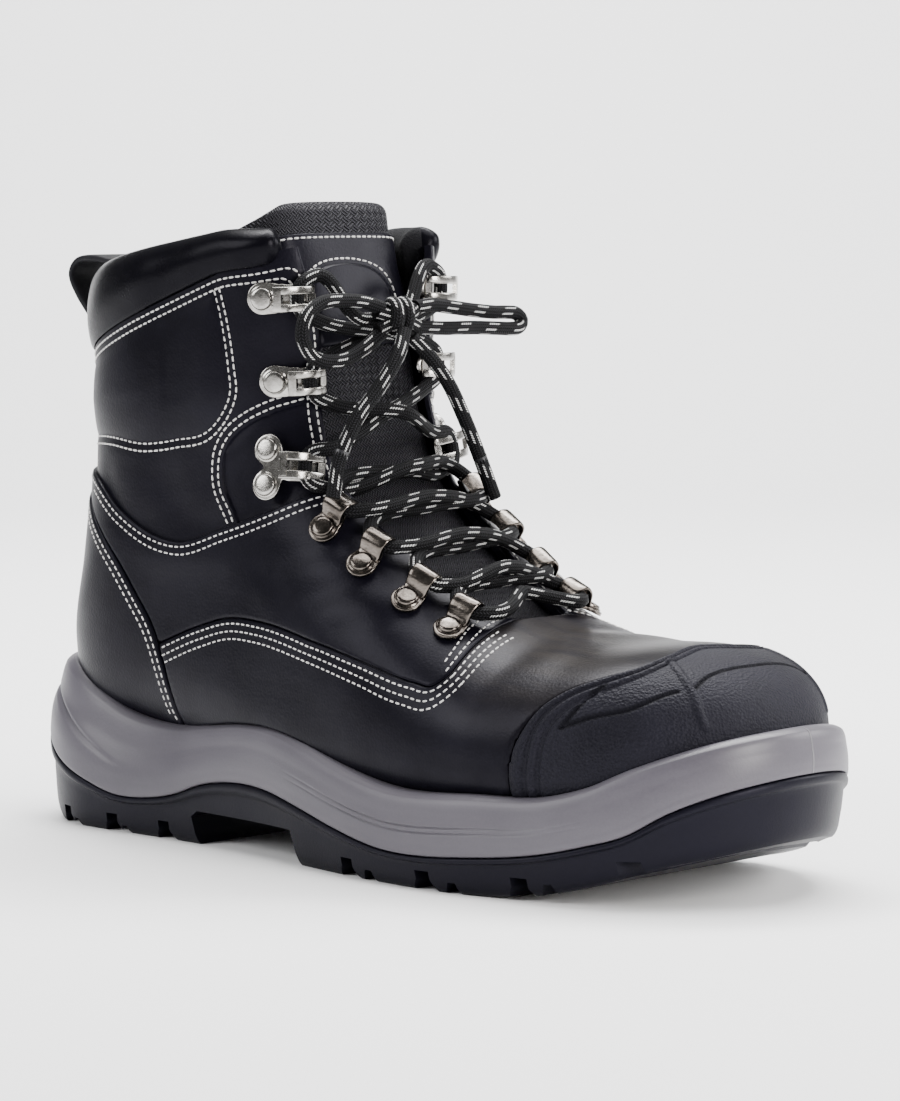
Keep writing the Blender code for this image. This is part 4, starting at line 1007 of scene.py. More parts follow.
# Painted shade of the grooves: a mask on the cap's points, 1 within 0.4 mm of a groove's middle and 0 past
# 0.85 mm.
points = np.array([vertex.co for vertex in scuff_cap.data.vertices]) / MM
away = np.full(len(points), 9.0)
for route, form in CAP_MARKS:
    if form is GROOVE:
        away = np.minimum(away, to_line(points, on_form(*route_points(route).T, GAP + CAP)))
dark = scuff_cap.data.attributes.new("painted_groove_shade", "FLOAT", "POINT")
dark.data.foreach_set("value", np.clip((0.85 - away) / 0.45, 0, 1))
dress(scuff_cap, "scuff_rubber", [scuff_rubber, scuff_rubber, scuff_rubber], "scuff_cap")

# Stitch rows of the shell: round the ankle panel and the window, along the throat, under the collar and down
# the back.
wave_outline = np.vstack([wave_line, [(30.0, 10.0), (-170.0, 10.0)]])


def clear_of_wave(line):
    """Where a line of the shell shows above the quarters."""
    return flat_edge(line[:, [0, 2]], wave_outline) < -0.8


def on_shell(line):
    """Lift of a stitch on the shell's face."""
    return upper_lift(line) + STITCH_LIFT


for rows in window_rows:
    sew(rows, on_shell, lambda line: clear_of_wave(line) & (line[:, HEM] > 5.0) & (line[:, ROW] < 12.3))
for rows in ankle_rows:
    sew(rows, on_shell, lambda line: clear_of_wave(line) & (line[:, HEM] > 4.6) & (line[:, WINDOW_IN] < -4.2))
for rows in hem_rows:
    sew(rows, on_shell, lambda line: clear_of_wave(line) & (line[:, ROW] > 9.0)
        & (line[:, ROW] < SHELL_TOP - COLLAR_DIP * collar_dip(line[:, TURN])))
for turn in (0.022, 0.038, 1.962, 1.978):
    line, normal = on_form(np.linspace(13.4, 15.5, 60), turn, parts=True)
    drop = np.linalg.norm(line - on_form(SHELL_TOP, turn), axis=1)
    lift = 1.75 * (1 - np.exp(-np.clip(drop - HEM_WIDTH, 0, None) / SWELL_RUN)) + STITCH_LIFT
    stitch_lines.append((line + normal * lift[:, None], normal))

# Padded collar: a soft roll of leather over foam, sewn to the shell's top edge and lined with fuzzy fabric
# inside. It runs from one side of the throat round the back to the other.

# Share of the way up from the shell's edge to the rim, and offset from the form
COLLAR_OUTLINE = ((0.0, 0.4), (0.20, 2.3), (0.52, 3.1), (0.82, 2.1), (1.0, -1.2), (1.02, -5.0), (0.86, -8.6),
                  (0.5, -10.4), (0.0, -9.6), (-0.5, -7.0), (-0.72, -4.6), (-0.7, -WALL - 3 * GAP),
                  (0.13, -WALL - 3 * GAP))
LINING_DEPTH, COLLAR_AROUND = -3.2, 64


def closed_curve(outline, count):
    """A smooth closed flat line through a few points."""
    outline = np.asarray(outline, float)
    wrapped = np.vstack([outline[-3:], outline, outline[:4]])
    return along(wrapped, 3 + np.arange(count) * len(outline) / count)


collar_leather = leather_finish("soft_collar_leather", ((0.0012, 0.0011, 0.0020), (0.0032, 0.0030, 0.0048)),
                                0.22, 0.7, 0.06, shine=0.05)
profile = closed_curve(COLLAR_OUTLINE, COLLAR_AROUND)
profile[:, 1] = np.clip(profile[:, 1], -10.6, 3.2)
rings = []
for station in np.sin(np.linspace(-math.pi / 2, math.pi / 2, 181)):
    turn = station * COLLAR_END
    low = on_form(SHELL_TOP, turn)
    pitch = np.linalg.norm(on_form(SHELL_TOP + 0.1, turn) - low) / 0.1
    dip = collar_dip(turn)
    first = SHELL_TOP + GAP / pitch - COLLAR_DIP * dip
    swell = 0.35 * math.sin(turn * 31 + 0.6) * math.sin(turn * 13 + 2)
    swell -= 0.9 * math.exp(-(turn / 0.012) ** 2)
    puff = np.clip(1 - np.abs(profile[:, 0] - 0.55) / 0.5, 0, 1) * swell
    height = RIM - SHELL_TOP + 0.22 * dip
    ring = on_form(first + profile[:, 0] * height, turn, profile[:, 1] + puff)
    close = max(0.0, (abs(station) - 0.955) / 0.045)
    middle = ring.mean(axis=0)
    rings.append(middle + (ring - middle) * math.sqrt(max(0.0, 1 - 0.96 * close ** 2)))
collar = solid_piece("padded_collar_roll", *loft(rings), 60)
is_lining = profile[:, 1] < LINING_DEPTH
kinds = [int(is_lining[p.vertices[0] % COLLAR_AROUND]) for p in collar.data.polygons]
dress(collar, "collar_leather", [collar_leather, lining], "padded_collar")
collar.data.polygons.foreach_set("material_index", kinds)

# Tongue: a foam pad in woven black nylon that fills the throat and stands over the collar in front.
# Its foot is sewn under the front of the throat.

# Row, share of its edges, depth of its face under the form, thickness, fall of the row at its edges
TONGUE = np.array([
    (5.15, 0.90, 3.6, 2.0, 0.0), (5.6, 0.81, 3.6, 3.0, 0.0), (6.3, 0.75, 3.6, 3.5, 0.0),
    (7.2, 0.73, 4.2, 4.0, 0.0), (8.2, 0.71, 4.8, 4.5, 0.0), (9.2, 0.70, 5.2, 5.0, 0.0),
    (10.4, 0.70, 5.6, 5.5, 0.0), (12.0, 0.69, 7.0, 6.0, 0.0), (13.6, 0.66, 9.0, 6.5, 0.0),
    (14.8, 0.59, 11.4, 6.5, 0.0), (15.9, 0.52, 12.4, 6.5, 0.0), (16.7, 0.49, 12.8, 6.0, 0.0),
    (17.2, 0.49, 13.2, 5.0, 0.06), (17.45, 0.52, 14.2, 3.0, 0.10)])
TONGUE_TOP, TONGUE_STEP, TONGUE_ACROSS, TONGUE_REACH = 13, 0.05, 160, 50.0
mesh_fabric = Finish("woven_nylon", {"Specular IOR Level": 0.22, "Specular Tint": (0.92, 0.92, 1.0, 1.0)})
u, v, _ = mesh_fabric.split(mesh_fabric.map)
YARN = 2.6
over, across = ((u + way * v) * (2 * math.pi / YARN) for way in (1, -1))
checks = ((over * 0.5).sine() * (across * 0.5).sine()).ramp(-0.15, 0.15)
over, across = over.sine(), across.sine()
weave = checks * (over * over) + (1 - checks) * (across * across)
fuzz = mesh_fabric.place.noise(0.4, 2, 0.6)
# Painted highlight and shade: the colour is lighter on the crowns of the yarns and near black in the gaps
# between them, following the weave's relief.
tone = weave * 0.75 + fuzz * 0.15 + mesh_fabric.place.noise(25, 2) * 0.1
mesh_fabric.feed(
    colour=tone.ramp(0.3, 0.9).tint((0.0002, 0.0002, 0.0004), (0.034, 0.0325, 0.0400)),
    roughness=0.4 + fuzz * 0.2,
    normal=(weave * 0.85 + fuzz * 0.15).bump(1.0))

# The tongue's face as a grid of levels along its rows and places across, its bend softened towards the top
# and its upper corners cut round
tongue_levels = np.arange(round(TONGUE_TOP / TONGUE_STEP) + 1)[:, None] * TONGUE_STEP
tongue_across = np.linspace(-1, 1, TONGUE_ACROSS + 1)[None]
row, edge, depth, thick, fall = np.moveaxis(along(TONGUE, tongue_levels[:, 0]), 1, 0)[..., None]
corner = 0.55 * np.clip((tongue_levels - 10.2) / 2.8, 0, 1) ** 1.4 * np.abs(tongue_across) ** 4
tongue_face = on_form(row - fall * tongue_across ** 2 - corner, 1 + tongue_across * (1 - edge), -depth)
soften = 0.5 * np.clip((tongue_levels - 7.0) / 2.5, 0, 1)[..., None]
for _ in range(200):
    middle = (tongue_face[:, :-2] + tongue_face[:, 2:]) / 2
    tongue_face[:, 1:-1] += soften * (middle - tongue_face[:, 1:-1])
tongue_normal = unit(np.cross(np.gradient(tongue_face, axis=1), np.gradient(tongue_face, axis=0)))


def tongue_point(level, across, lift=0.0, parts=False):
    """A point of the tongue: level along TONGUE's rows, across from -1 to 1, lift over its face or -1 for its
    back. With parts, the face's normal as well."""
    level, across, lift = np.broadcast_arrays(*(np.asarray(v, float) for v in (level, across, lift)))
    i = np.clip(level / TONGUE_STEP, 0, len(tongue_face) - 1.001)
    j = np.clip((across + 1) * TONGUE_ACROSS / 2, 0, TONGUE_ACROSS - 0.001)
    point, normal = in_grids((tongue_face, tongue_normal), i, j)
    thick = along(TONGUE[:, 3:4], level.ravel()).reshape(level.shape)
    end = np.sqrt(1 - np.clip((level - 12.2) / 0.8, 0, 1) ** 2)
    roll = 0.5 * thick * (1 - np.sqrt(np.clip(1 - np.abs(across) ** 6, 0, 1)) * end)
    inset = np.where(lift < 0, roll - thick, lift - roll)
    point = point + inset[..., None] * normal
    return (point, normal) if parts else point


levels = np.concatenate([np.linspace(0, 11, 96), 11 + 2 * np.sin(np.linspace(0.03, math.pi / 2, 50))])
across = np.sin(np.linspace(-math.pi / 2, math.pi / 2, 61))
rings = []
for level in levels:
    face = tongue_point(level, across, 0.0)
    if level < 9:
        normal = tongue_point(level, 0.0, 0.0, True)[1]
        face += (0.5 * math.sin(level * 3.1) * (1 - across ** 2))[:, None] * normal
    rings.append(np.vstack([face, tongue_point(level, across[1:-1], -1.0)[::-1]]))
tongue = solid_piece("tongue_pad", *loft(rings), 60)
map_layer = tongue.data.uv_layers.new(name="weave")
ring_size = len(rings[0])
length = run_along([ring[30] for ring in rings])
breadth = np.concatenate([across, across[1:-1][::-1]]) * TONGUE_REACH
spot = np.empty(len(tongue.data.loops), int)
tongue.data.loops.foreach_get("vertex_index", spot)
flat_map = np.column_stack([breadth[spot % ring_size], length[spot // ring_size]])
map_layer.data.foreach_set("uv", flat_map.ravel())
dress(tongue, "tongue_fabric", [mesh_fabric], "tongue")

# Leather patch on the tongue: sewn on below the woven top edge, with a raised, plain half-oval.
# One row of white stitches follows its edge, and another the half-oval.
PATCH_LOW, PATCH_HIGH, PATCH_HALF = 7.0, 11.0, 0.80
OVAL_FOOT, OVAL_RISE, OVAL_HALF, OVAL_SIDE = 7.9, 1.35, 0.30, -0.04
PATCH_ROWS, PATCH_ACROSS, PATCH_STITCH = 110, 100, 1.1


def patch_top(across):
    """Level of the patch's upper edge, with round corners."""
    share = np.abs(across) / PATCH_HALF
    return PATCH_HIGH - 0.15 * share ** 2 - 0.55 * share ** 9


f = np.linspace(0, 1, PATCH_ROWS)[:, None]
w = np.linspace(-PATCH_HALF, PATCH_HALF, PATCH_ACROSS)[None]
level = PATCH_LOW + f * (patch_top(w) - PATCH_LOW)
oval = 1 - np.hypot((w - OVAL_SIDE) / OVAL_HALF, np.clip(level - OVAL_FOOT, 0, None) / OVAL_RISE)
edge = np.minimum(level - PATCH_LOW, patch_top(w) - level) * 7
edge = np.minimum(edge, (PATCH_HALF - np.abs(w)) * TONGUE_REACH)
lift = 0.2 + 0.8 * np.sqrt(1 - (1 - np.clip(edge / 0.9, 0, 1)) ** 2) + 0.9 * np.clip(oval / 0.05, 0, 1)
face, back = tongue_point(level, w, lift), tongue_point(level, w, 0.05)
count = PATCH_ROWS * PATCH_ACROSS
grid = np.arange(count).reshape(PATCH_ROWS, PATCH_ACROSS)
quads = np.stack([grid[:-1, :-1], grid[:-1, 1:], grid[1:, 1:], grid[1:, :-1]], -1).reshape(-1, 4)
ring = np.concatenate([grid[0, :-1], grid[:-1, -1], grid[-1, :0:-1], grid[:0:-1, 0]])
rim = [(a, b, b + count, a + count) for a, b in zip(ring, np.roll(ring, -1))]
patch = solid_piece("tongue_patch", np.vstack([face.reshape(-1, 3), back.reshape(-1, 3)]),
                    quads.tolist() + (quads[:, ::-1] + count).tolist() + rim, 50)
dress(patch, "leather", [leather])
w = np.linspace(-PATCH_HALF + 0.04, PATCH_HALF - 0.04, 90)
stitch_lines.append(tongue_point(patch_top(w) - 0.28, w, PATCH_STITCH, True))
for side in (-1, 1):
    down = np.linspace(patch_top(PATCH_HALF - 0.04) - 0.4, PATCH_LOW + 0.3, 50)
    stitch_lines.append(tongue_point(down, np.full(50, side * (PATCH_HALF - 0.045)), PATCH_STITCH, True))
turn = np.linspace(0, math.pi, 60)
stitch_lines.append(tongue_point(OVAL_FOOT + (OVAL_RISE + 0.22) * np.sin(turn),
                                 OVAL_SIDE + (OVAL_HALF + 0.035) * np.cos(turn), PATCH_STITCH, True))

# Pull loop: a folded band of smooth black webbing, sewn behind the collar at the back.
# Its upper end goes over the rim, and its lower end down to the seam under the collar.
pull_middle = np.array([(-133.1, 149.5), (-135.4, 157.0), (-141.5, 164.5), (-149.5, 173.5), (-152.8, 180.0),
                        (-149.5, 184.6), (-142.0, 185.4), (-134.0, 184.4), (-126.5, 182.9)])
PULL_WIDTH, PULL_THICK = 21.0, 2.4


def circle(count):
    """Even angles once round."""
    return np.arange(count) * 2 * math.pi / count


webbing = Finish("pull_webbing", {"Sheen Weight": 0.02, "Specular IOR Level": 0.12})
rib = webbing.place.noise(0.8, 2, 0.5, (1.0, 2.2, 1.0))
cloud = webbing.place.noise(14, 2)
_, y, _ = webbing.split(webbing.place)
# The band's colour turns lighter in the outer millimetre and a half of each side edge.
lighter_sides = y.absolute().ramp(0.0090, 0.0105)
tone = rib * 0.4 + cloud * 0.3 + lighter_sides * 0.3
webbing.feed(
    colour=tone.tint((0.0016, 0.0015, 0.0024), (0.0090, 0.0086, 0.0116)),
    roughness=0.42 + rib * 0.25,
    normal=rib.bump(0.2))
middle = along(pull_middle, np.linspace(0, len(pull_middle) - 1, 90))
way = unit(np.gradient(middle, axis=0))
side = np.column_stack([-way[:, 1], way[:, 0]])
turn = circle(32)
flat = squared(np.cos(turn), 0.25) * PULL_WIDTH / 2
thick = squared(np.sin(turn), 0.5) * PULL_THICK / 2
rings = []
for point, out in zip(middle, side):
    rings.append(np.column_stack([point[0] + out[0] * thick, flat, point[1] + out[1] * thick]))
pull_loop = solid_piece("pull_loop_band", *loft(rings), 50)
dress(pull_loop, "webbing", [webbing], "pull_loop")

# Lace hardware: four bronze lace loops, a nickel lock hook and two nickel speed hooks on each side.
# All are pressed from sheet metal and riveted through the leather beside the throat.

# From the bottom row up: name, row, share on the outer side, stand-off of its frame
HARDWARE = (
    ("lace_loop_1", 5.90, 0.748, 2.4), ("lace_loop_2", 6.62, 0.745, 2.1), ("lace_loop_3", 7.42, 0.745, 2.1),
    ("lace_loop_4", 8.26, 0.750, 2.1), ("lock_hook", 10.00, 0.752, 2.5), ("middle_hook", 11.96, 0.80, 0.4),
    ("top_hook", 14.52, 0.757, 0.4))
INNER_SHIFT, INNER_LOCK_STAND = 0.03, 0.5
ARCH = np.array([(0.0, 0.9), (3.6, 1.6), (6.0, 5.2), (9.0, 6.8), (11.6, 5.4), (12.2, 2.2)])
HOOK = np.array([(-3.7, 0.8), (4.0, 0.8), (12.5, 1.0), (15.0, 3.4), (14.0, 6.4), (10.5, 7.4), (5.5, 6.8)])
# Plates as circles of reach, height and radius
LOOP_PLATE = ((0.0, 0.0, 4.9), (2.6, 0.0, 4.3), (4.6, 0.0, 3.4))
LOCK_PLATE = ((-2.0, 5.6, 4.9), (-2.0, -5.6, 4.9), (1.5, 0.0, 4.5), (6.0, 0.0, 4.4), (9.0, 0.0, 4.4))
HOOK_PLATE = ((0.0, 0.0, 5.1), (3.0, 0.0, 4.8), (6.0, 0.0, 4.5), (9.0, 0.0, 4.3), (11.0, 0.0, 4.1))
# Hooks: plate, its thickness, rivets, then the two strips' first point, width and place across, and the width
# of the bars between them
LOCK_FORM = (LOCK_PLATE, 1.1, ((-2.0, 5.6), (-2.0, -5.6)), 4, 2.7, 2.9, 8.4)
HOOK_FORM = (HOOK_PLATE, 1.2, ((0.0, 0.0),), 6, 2.5, 2.7, 7.9)
RIVET = 3.5


def hardware_frame(name, side, row, share, stand):
    """Where a piece of lace hardware sits: its rivet's point, the outward, forward and upward ways, and the
    fall of the leather ahead. Those of the inner side sit nearer to the throat."""
    if side == "inner":
        share += INNER_SHIFT
        stand = INNER_LOCK_STAND if name == "lock_hook" else stand
    shares = share + np.linspace(0, 0.16, 9)
    turns = shares if side == "outer" else 2 - shares
    trail = on_form(row, turns, stand)
    point, normal = trail[0], on_form(row, turns[0], parts=True)[1]
    ahead = on_form(row, share * 1.01 if side == "outer" else 2 - share * 1.01, stand) - point
    if name.endswith("hook"):
        ahead[2] = 0.0
    ahead = unit(ahead - normal * ahead.dot(normal))
    up = np.cross(normal, ahead)
    if up.dot(on_form(row + 0.1, turns[0]) - on_form(row, turns[0])) < 0:
        up = -up
    return point, normal, ahead, up, (trail - point) @ ahead, (trail - point) @ normal


def place(points, spot):
    """Points of local reach, height along the throat and rise, set on the leather and bent with its fall."""
    points = np.asarray(points, float)
    point, normal, ahead, up, reach, fall = spot
    rise = points[:, 2] + np.interp(points[:, 0], reach, fall)
    return point + points[:, :1] * ahead + points[:, 1:2] * up + rise[:, None] * normal


def strip(line, widths, thickness, across=0.0):
    """A bent strip of sheet metal with rolled edges along a line of reach and rise."""
    way = unit(np.gradient(line, axis=0))
    turn = circle(16) + math.pi / 16
    flat = squared(np.cos(turn), 0.3)
    thick = squared(np.sin(turn), 0.6) * thickness / 2
    rings = []
    for (reach, rise), (a, b), width in zip(line, way, np.broadcast_to(widths, len(line))):
        rings.append(np.column_stack([reach - b * thick, across + flat * width / 2, rise + a * thick]))
    return loft(rings)


def pressed_plate(outline, low, high, soft=0.3):
    """A flat plate with softened edges over an outline of reach and height."""
    outline = np.asarray(outline, float)
    middle = outline.mean(axis=0)
    size = np.linalg.norm(outline - middle, axis=1).mean()
    rings = []
    for inset, rise in ((0.0, low), (0.0, high - soft), (0.3 * soft, high - 0.3 * soft), (soft, high)):
        ring = middle + (outline - middle) * (1 - inset / size)
        rings.append(np.column_stack([ring, np.full(len(ring), rise)]))
    return loft(rings)


def rivet(centre, radius, low, height):
    """A domed rivet head on a thin collar."""
    turn = circle(24)
    rings = []
    for share, rise in ((1.16, 0.0), (1.16, 0.35), (1.05, 0.5), (1.0, 0.45), (0.97, 0.75), (0.88, 0.95),
                        (0.6, 1.0), (0.3, 1.03), (0.06, 1.04)):
        x, y = centre[0] + radius * share * np.cos(turn), centre[1] + radius * share * np.sin(turn)
        rings.append(np.column_stack([x, y, np.full(24, low + rise * height)]))
    return loft(rings)


def lobed(circles, count=72):
    """An outline round circles of reach, height and radius, pulled in a little between them."""
    circles = np.asarray(circles, float)
    middle = circles[:, :2].mean(axis=0)
    angles = circle(count)
    ways = np.column_stack([np.cos(angles), np.sin(angles)])
    reach = np.full(count, 1.5)
    for disc in circles:
        to = disc[:2] - middle
        near = ways @ to
        off = disc[2] ** 2 - (to @ to - near ** 2)
        reach = np.where(off > 0, np.maximum(reach, near + np.sqrt(np.maximum(off, 0.0))), reach)
    for _ in range(2):
        reach = (np.roll(reach, 1) + reach * 2 + np.roll(reach, -1)) / 4
    return middle + reach[:, None] * ways


def metal_finish(name, dark, light, gloss):
    """Plated sheet metal: cloudy polish with darker patches of handling, and fine drawn lines."""
    made = Finish(name, {"Metallic": 1.0})
    cloud = made.place.noise(4, 3, 0.6)
    drawn = made.place.noise(0.5, 2, 0.6, (0.3, 1.0, 1.0))
    made.feed(
        colour=(cloud * 0.7 + drawn * 0.3).ramp(0.3, 0.7).tint(dark, light),
        roughness=gloss + cloud * 0.14 + drawn * 0.08,
        normal=(drawn * 0.5 + cloud * 0.5).bump(0.05))
    return made


nickel = metal_finish("bright_nickel", (0.24, 0.23, 0.215), (0.50, 0.485, 0.46), 0.10)
bronze = metal_finish("dark_bronze", (0.055, 0.048, 0.042), (0.175, 0.154, 0.136), 0.09)
arch = along(ARCH, np.linspace(0.75, len(ARCH) - 1, 26))
hook = along(HOOK, np.linspace(1.0, len(HOOK) - 1, 34))
spots = {}
for side in ("outer", "inner"):
    for name, row, share, stand in HARDWARE:
        spot = hardware_frame(name, side, row, share, stand)
        spots[side, name] = spot
        if name.startswith("lace_loop"):
            shells = [pressed_plate(lobed(LOOP_PLATE), 0.0, 1.1),
                      strip(arch, 7.2 + 1.6 * np.sin(np.linspace(0, math.pi, 26)) ** 0.6, 1.2),
                      rivet((0.0, 0.0), RIVET, 0.9, 1.7)]
            finish, slot = bronze, "loop_metal"
        else:
            plate, thick, rivets, first, wide, apart, bar = LOCK_FORM if name == "lock_hook" else HOOK_FORM
            shells = [pressed_plate(lobed(plate), 0.0, thick)]
            shells += [rivet(centre, RIVET, thick - 0.2, 1.6) for centre in rivets]
            shells += [strip(hook[first:], wide, 1.3, across) for across in (-apart, apart)]
            shells += [strip(along(HOOK, np.linspace(at, at + 0.45, 5)), bar, 1.45) for at in (2.2, 5.5)]
            finish, slot = nickel, "hook_metal"
        points, faces = joined(shells)
        piece = solid_piece(f"{side}_{name}_metal", place(points, spot), faces, 45)
        dress(piece, slot, [finish], f"{side}_{name}")

# Lace: a round braided cord, black with short white flecks. Its bar lies across the lowest loops.
# Its halves cross upwards through the loops and behind the hooks, and are tied in a bow with sealed ends.
LACE = 4.5
KNOT = np.array((-5.5, -5.5, 168.0))
OUTER_BOW = ((-6.0, -12.8, 171.2), (-7.0, -20.0, 173.2), (-7.9, -28.0, 173.8), (-8.8, -37.4, 172.9),
             (-9.2, -43.2, 168.9), (-9.3, -44.7, 163.1), (-9.0, -40.9, 157.1), (-8.6, -31.2, 155.0),
             (-8.0, -19.4, 158.4), (-6.2, -12.4, 163.6))
INNER_BOW = ((-5.5, 1.8, 171.2), (-5.0, 9.0, 171.8), (-4.4, 17.0, 171.0), (-3.9, 27.4, 169.8),
             (-2.9, 37.0, 169.0), (-2.6, 42.0, 168.9), (-2.2, 45.2, 168.6), (-1.8, 47.0, 167.5),
             (-1.5, 47.5, 166.3), (-1.2, 47.0, 165.1), (-0.9, 45.2, 164.0), (-0.9, 42.0, 163.7),
             (-1.4, 37.0, 163.9), (-2.6, 27.4, 164.3), (-4.0, 14.0, 164.4), (-5.5, 1.8, 164.9))
OUTER_END = ((0.1, -9.0, 164.3), (2.4, -13.6, 158.0), (1.6, -21.0, 148.0), (-0.2, -30.0, 137.5),
             (-2.0, -36.0, 125.0), (-1.8, -39.0, 113.5))
INNER_END = ((-2.7, -2.7, 161.8), (0.6, 2.4, 155.6), (2.0, 9.4, 147.0), (3.0, 15.0, 137.0),
             (4.5, 22.0, 122.0), (5.5, 27.0, 110.5))
# Strands inside the knot, from its middle
CORE = ((-1.0, -9.5, 2.2), (0.0, -4.0, 0.8), (0.3, 0.0, 0.0), (0.0, 4.0, 0.6), (-0.3, 8.0, 2.6))
UNDER_CORE = ((-0.8, -9.0, -3.6), (0.4, -4.0, -1.6), (0.6, 0.0, -0.6), (0.4, 4.0, -1.4), (0.2, 8.0, -3.0))
CORD_STEP, TIP_LENGTH = 1.1, 15.0
# Lace at loops, locking hooks and open hooks: reach, height and rise of its points from above to the middle,
# then of a strand's end
AT_LOOP = (((12.5, 7.0, 3.4), (9.0, 3.6, 3.2), (8.4, 0.0, 3.2)), (14.9, 0.0, 3.4))
AT_LOCK = (((17.5, 6.5, 6.0), (12.2, 4.0, 4.3), (11.3, 0.0, 4.1)), (20.5, 0.0, 10.5))
AT_HOOK = (((16.0, 7.0, 3.6), (12.2, 4.0, 4.0), (11.3, 0.0, 4.1)), (17.4, 0.0, 3.2))

lace_braid = Finish("braided_lace", {"Specular IOR Level": 0.09})
u, v, _ = lace_braid.split(lace_braid.map)
RIB, FLECK, COLUMNS = 0.85, 12.0, 7
ROUND = math.pi * LACE
left, right = (((u + way * v * (RIB * 2 * COLUMNS / ROUND)) * (2 * math.pi / RIB)).sine() for way in (1, -1))
column = (v * (2 * math.pi * COLUMNS / ROUND)).sine()
side = column.ramp(-0.15, 0.15)
strand = (side * left + (1 - side) * right).ramp(-0.9, 0.7)
crown = (column * column).ramp(0.0, 0.6)
fleck = (u * (2 * math.pi / FLECK) + v * (2 * math.pi / ROUND)).sine().ramp(0.32, 0.5)
fleck = fleck * column.ramp(0.45, 0.7) * strand.ramp(0.1, 0.45)
fuzz = lace_braid.place.noise(0.4, 2, 0.6)
relief = strand * 0.5 + crown * 0.35 + fuzz * 0.15
# Painted highlight and shade: the black turns lighter on the crowns of the braid's strands and darkest
# between them, following the relief that also bumps the cord.
black = relief.ramp(0.5, 1.0).tint((0.0001, 0.0001, 0.0002), (0.018, 0.018, 0.0205))
lace_braid.feed(
    colour=fleck.over(black, fuzz.tint((0.45, 0.45, 0.45), (0.85, 0.85, 0.84))),
    roughness=0.5 + fuzz * 0.3,
    normal=relief.bump(0.45))


def cord_mesh(name, routes, radii, sides=14):
    """Round cords along routes, mapped along and round in millimetres."""
    points, faces, mapped = [], [], []
    start = 0
    for route in routes:
        way = unit(np.gradient(route, axis=0))
        length = run_along(route)
        side = np.cross(way[0], (0.0, 0.0, 1.0) if abs(way[0][2]) < 0.9 else (1.0, 0.0, 0.0))
        turn = circle(sides)
        for point, ahead, radius in zip(route, way, np.broadcast_to(radii, len(route))):
            side = unit(side - ahead * side.dot(ahead))
            other = np.cross(ahead, side)
            points.append(point + radius * (np.cos(turn)[:, None] * side + np.sin(turn)[:, None] * other))
        for i in range(len(route) - 1):
            for j in range(sides):
                k = (j + 1) % sides
                a, b = start + i * sides, start + (i + 1) * sides
                faces.append((a + j, a + k, b + k, b + j))
                low, high = j * ROUND / sides, (j + 1) * ROUND / sides
                mapped += [(length[i], low), (length[i], high), (length[i + 1], high), (length[i + 1], low)]
        for base, order in ((start, -1), (start + (len(route) - 1) * sides, 1)):
            faces.append(tuple(base + j for j in range(sides))[::order])
            mapped += [(0.0, 0.0)] * sides
        start += len(route) * sides
    mesh = bpy.data.meshes.new(name)
    mesh.from_pydata((np.vstack(points) * MM).tolist(), [], faces)
    mesh.uv_layers.new(name="braid").data.foreach_set("uv", np.array(mapped).ravel())
    smoothed(mesh, 60)
    return placed(name, mesh)


def lace_at(name):
    """The lace's points at a loop or a hook, and its strand's end."""
    if name.startswith("lace_loop"):
        return AT_LOOP
    return AT_LOCK if name == "lock_hook" else AT_HOOK


def through(side, name):
    """Points of the lace through one loop or behind one hook, from below to above."""
    upper = np.array(lace_at(name)[0])
    return place(np.vstack([upper * (1, -1, 1), upper[1::-1]]), spots[side, name])


def strand_end(side, name):
    """Where a crossing strand ends beside a loop or hook."""
    return place([lace_at(name)[1]], spots[side, name])[0]


names = [row[0] for row in HARDWARE]
outs = []
for name, row, share, stand in HARDWARE:
    out = hardware_frame(name, "inner", row, 0.77, stand)[1] * (1.0, 0.0, 1.0)
    outs.append(unit(out))
bar = (strand_end("outer", names[0]) + strand_end("inner", names[0])) / 2 + 1.5 * outs[0]
routes = []
for start in ("inner", "outer"):
    side = start
    route = [bar]
    for i, name in enumerate(names):
        route += list(through(side, name))
        if i + 1 < len(names):
            other = "outer" if side == "inner" else "inner"
            over = 0.5 if side == "outer" else (2.0 if i + 2 == len(names) else LACE + 0.8)
            middle = (strand_end(side, name) + strand_end(other, names[i + 1])) / 2
            route.append(middle + over * (outs[i] + outs[i + 1]) / 2)
            side = other
    edge = 1.0 if side == "inner" else -1.0
    route += [KNOT + (-7.0, edge * 9.0, -0.5), KNOT + (-4.5, edge * 2.0, 0.0)]
    routes.append(smooth_run(route, CORD_STEP))
crossings = cord_mesh("lace_crossing_cord", routes, LACE / 2)
dress(crossings, "lace", [lace_braid], "lace_crossings")

turn = np.linspace(-0.6, 4 * math.pi - 1.2, 90)
wrap = KNOT + np.column_stack([3.3 * np.cos(turn), np.linspace(-4.4, 4.4, 90), 4.6 * np.sin(turn)])
core, under = (smooth_run(KNOT + np.array(route), CORD_STEP) for route in (CORE, UNDER_CORE))
knot = cord_mesh("lace_knot_tied", [wrap, core, under], LACE / 2)
dress(knot, "lace", [lace_braid], "lace_knot")


def free_cord(name, node, route, extra=()):
    """A free stretch of lace from the knot."""
    path = smooth_run(route, CORD_STEP)
    piece = cord_mesh(name, [path], LACE / 2)
    dress(piece, "lace", [lace_braid], node)
    run_along(path)[-1] * MM


aglet_plastic = Finish("lace_tip", {"Specular IOR Level": 0.5})
cloud = aglet_plastic.place.noise(3, 2)
aglet_plastic.feed(
    colour=cloud.tint((0.006, 0.006, 0.007), (0.020, 0.020, 0.023)),
    roughness=0.22 + cloud * 0.15,
    normal=cloud.bump(0.05))


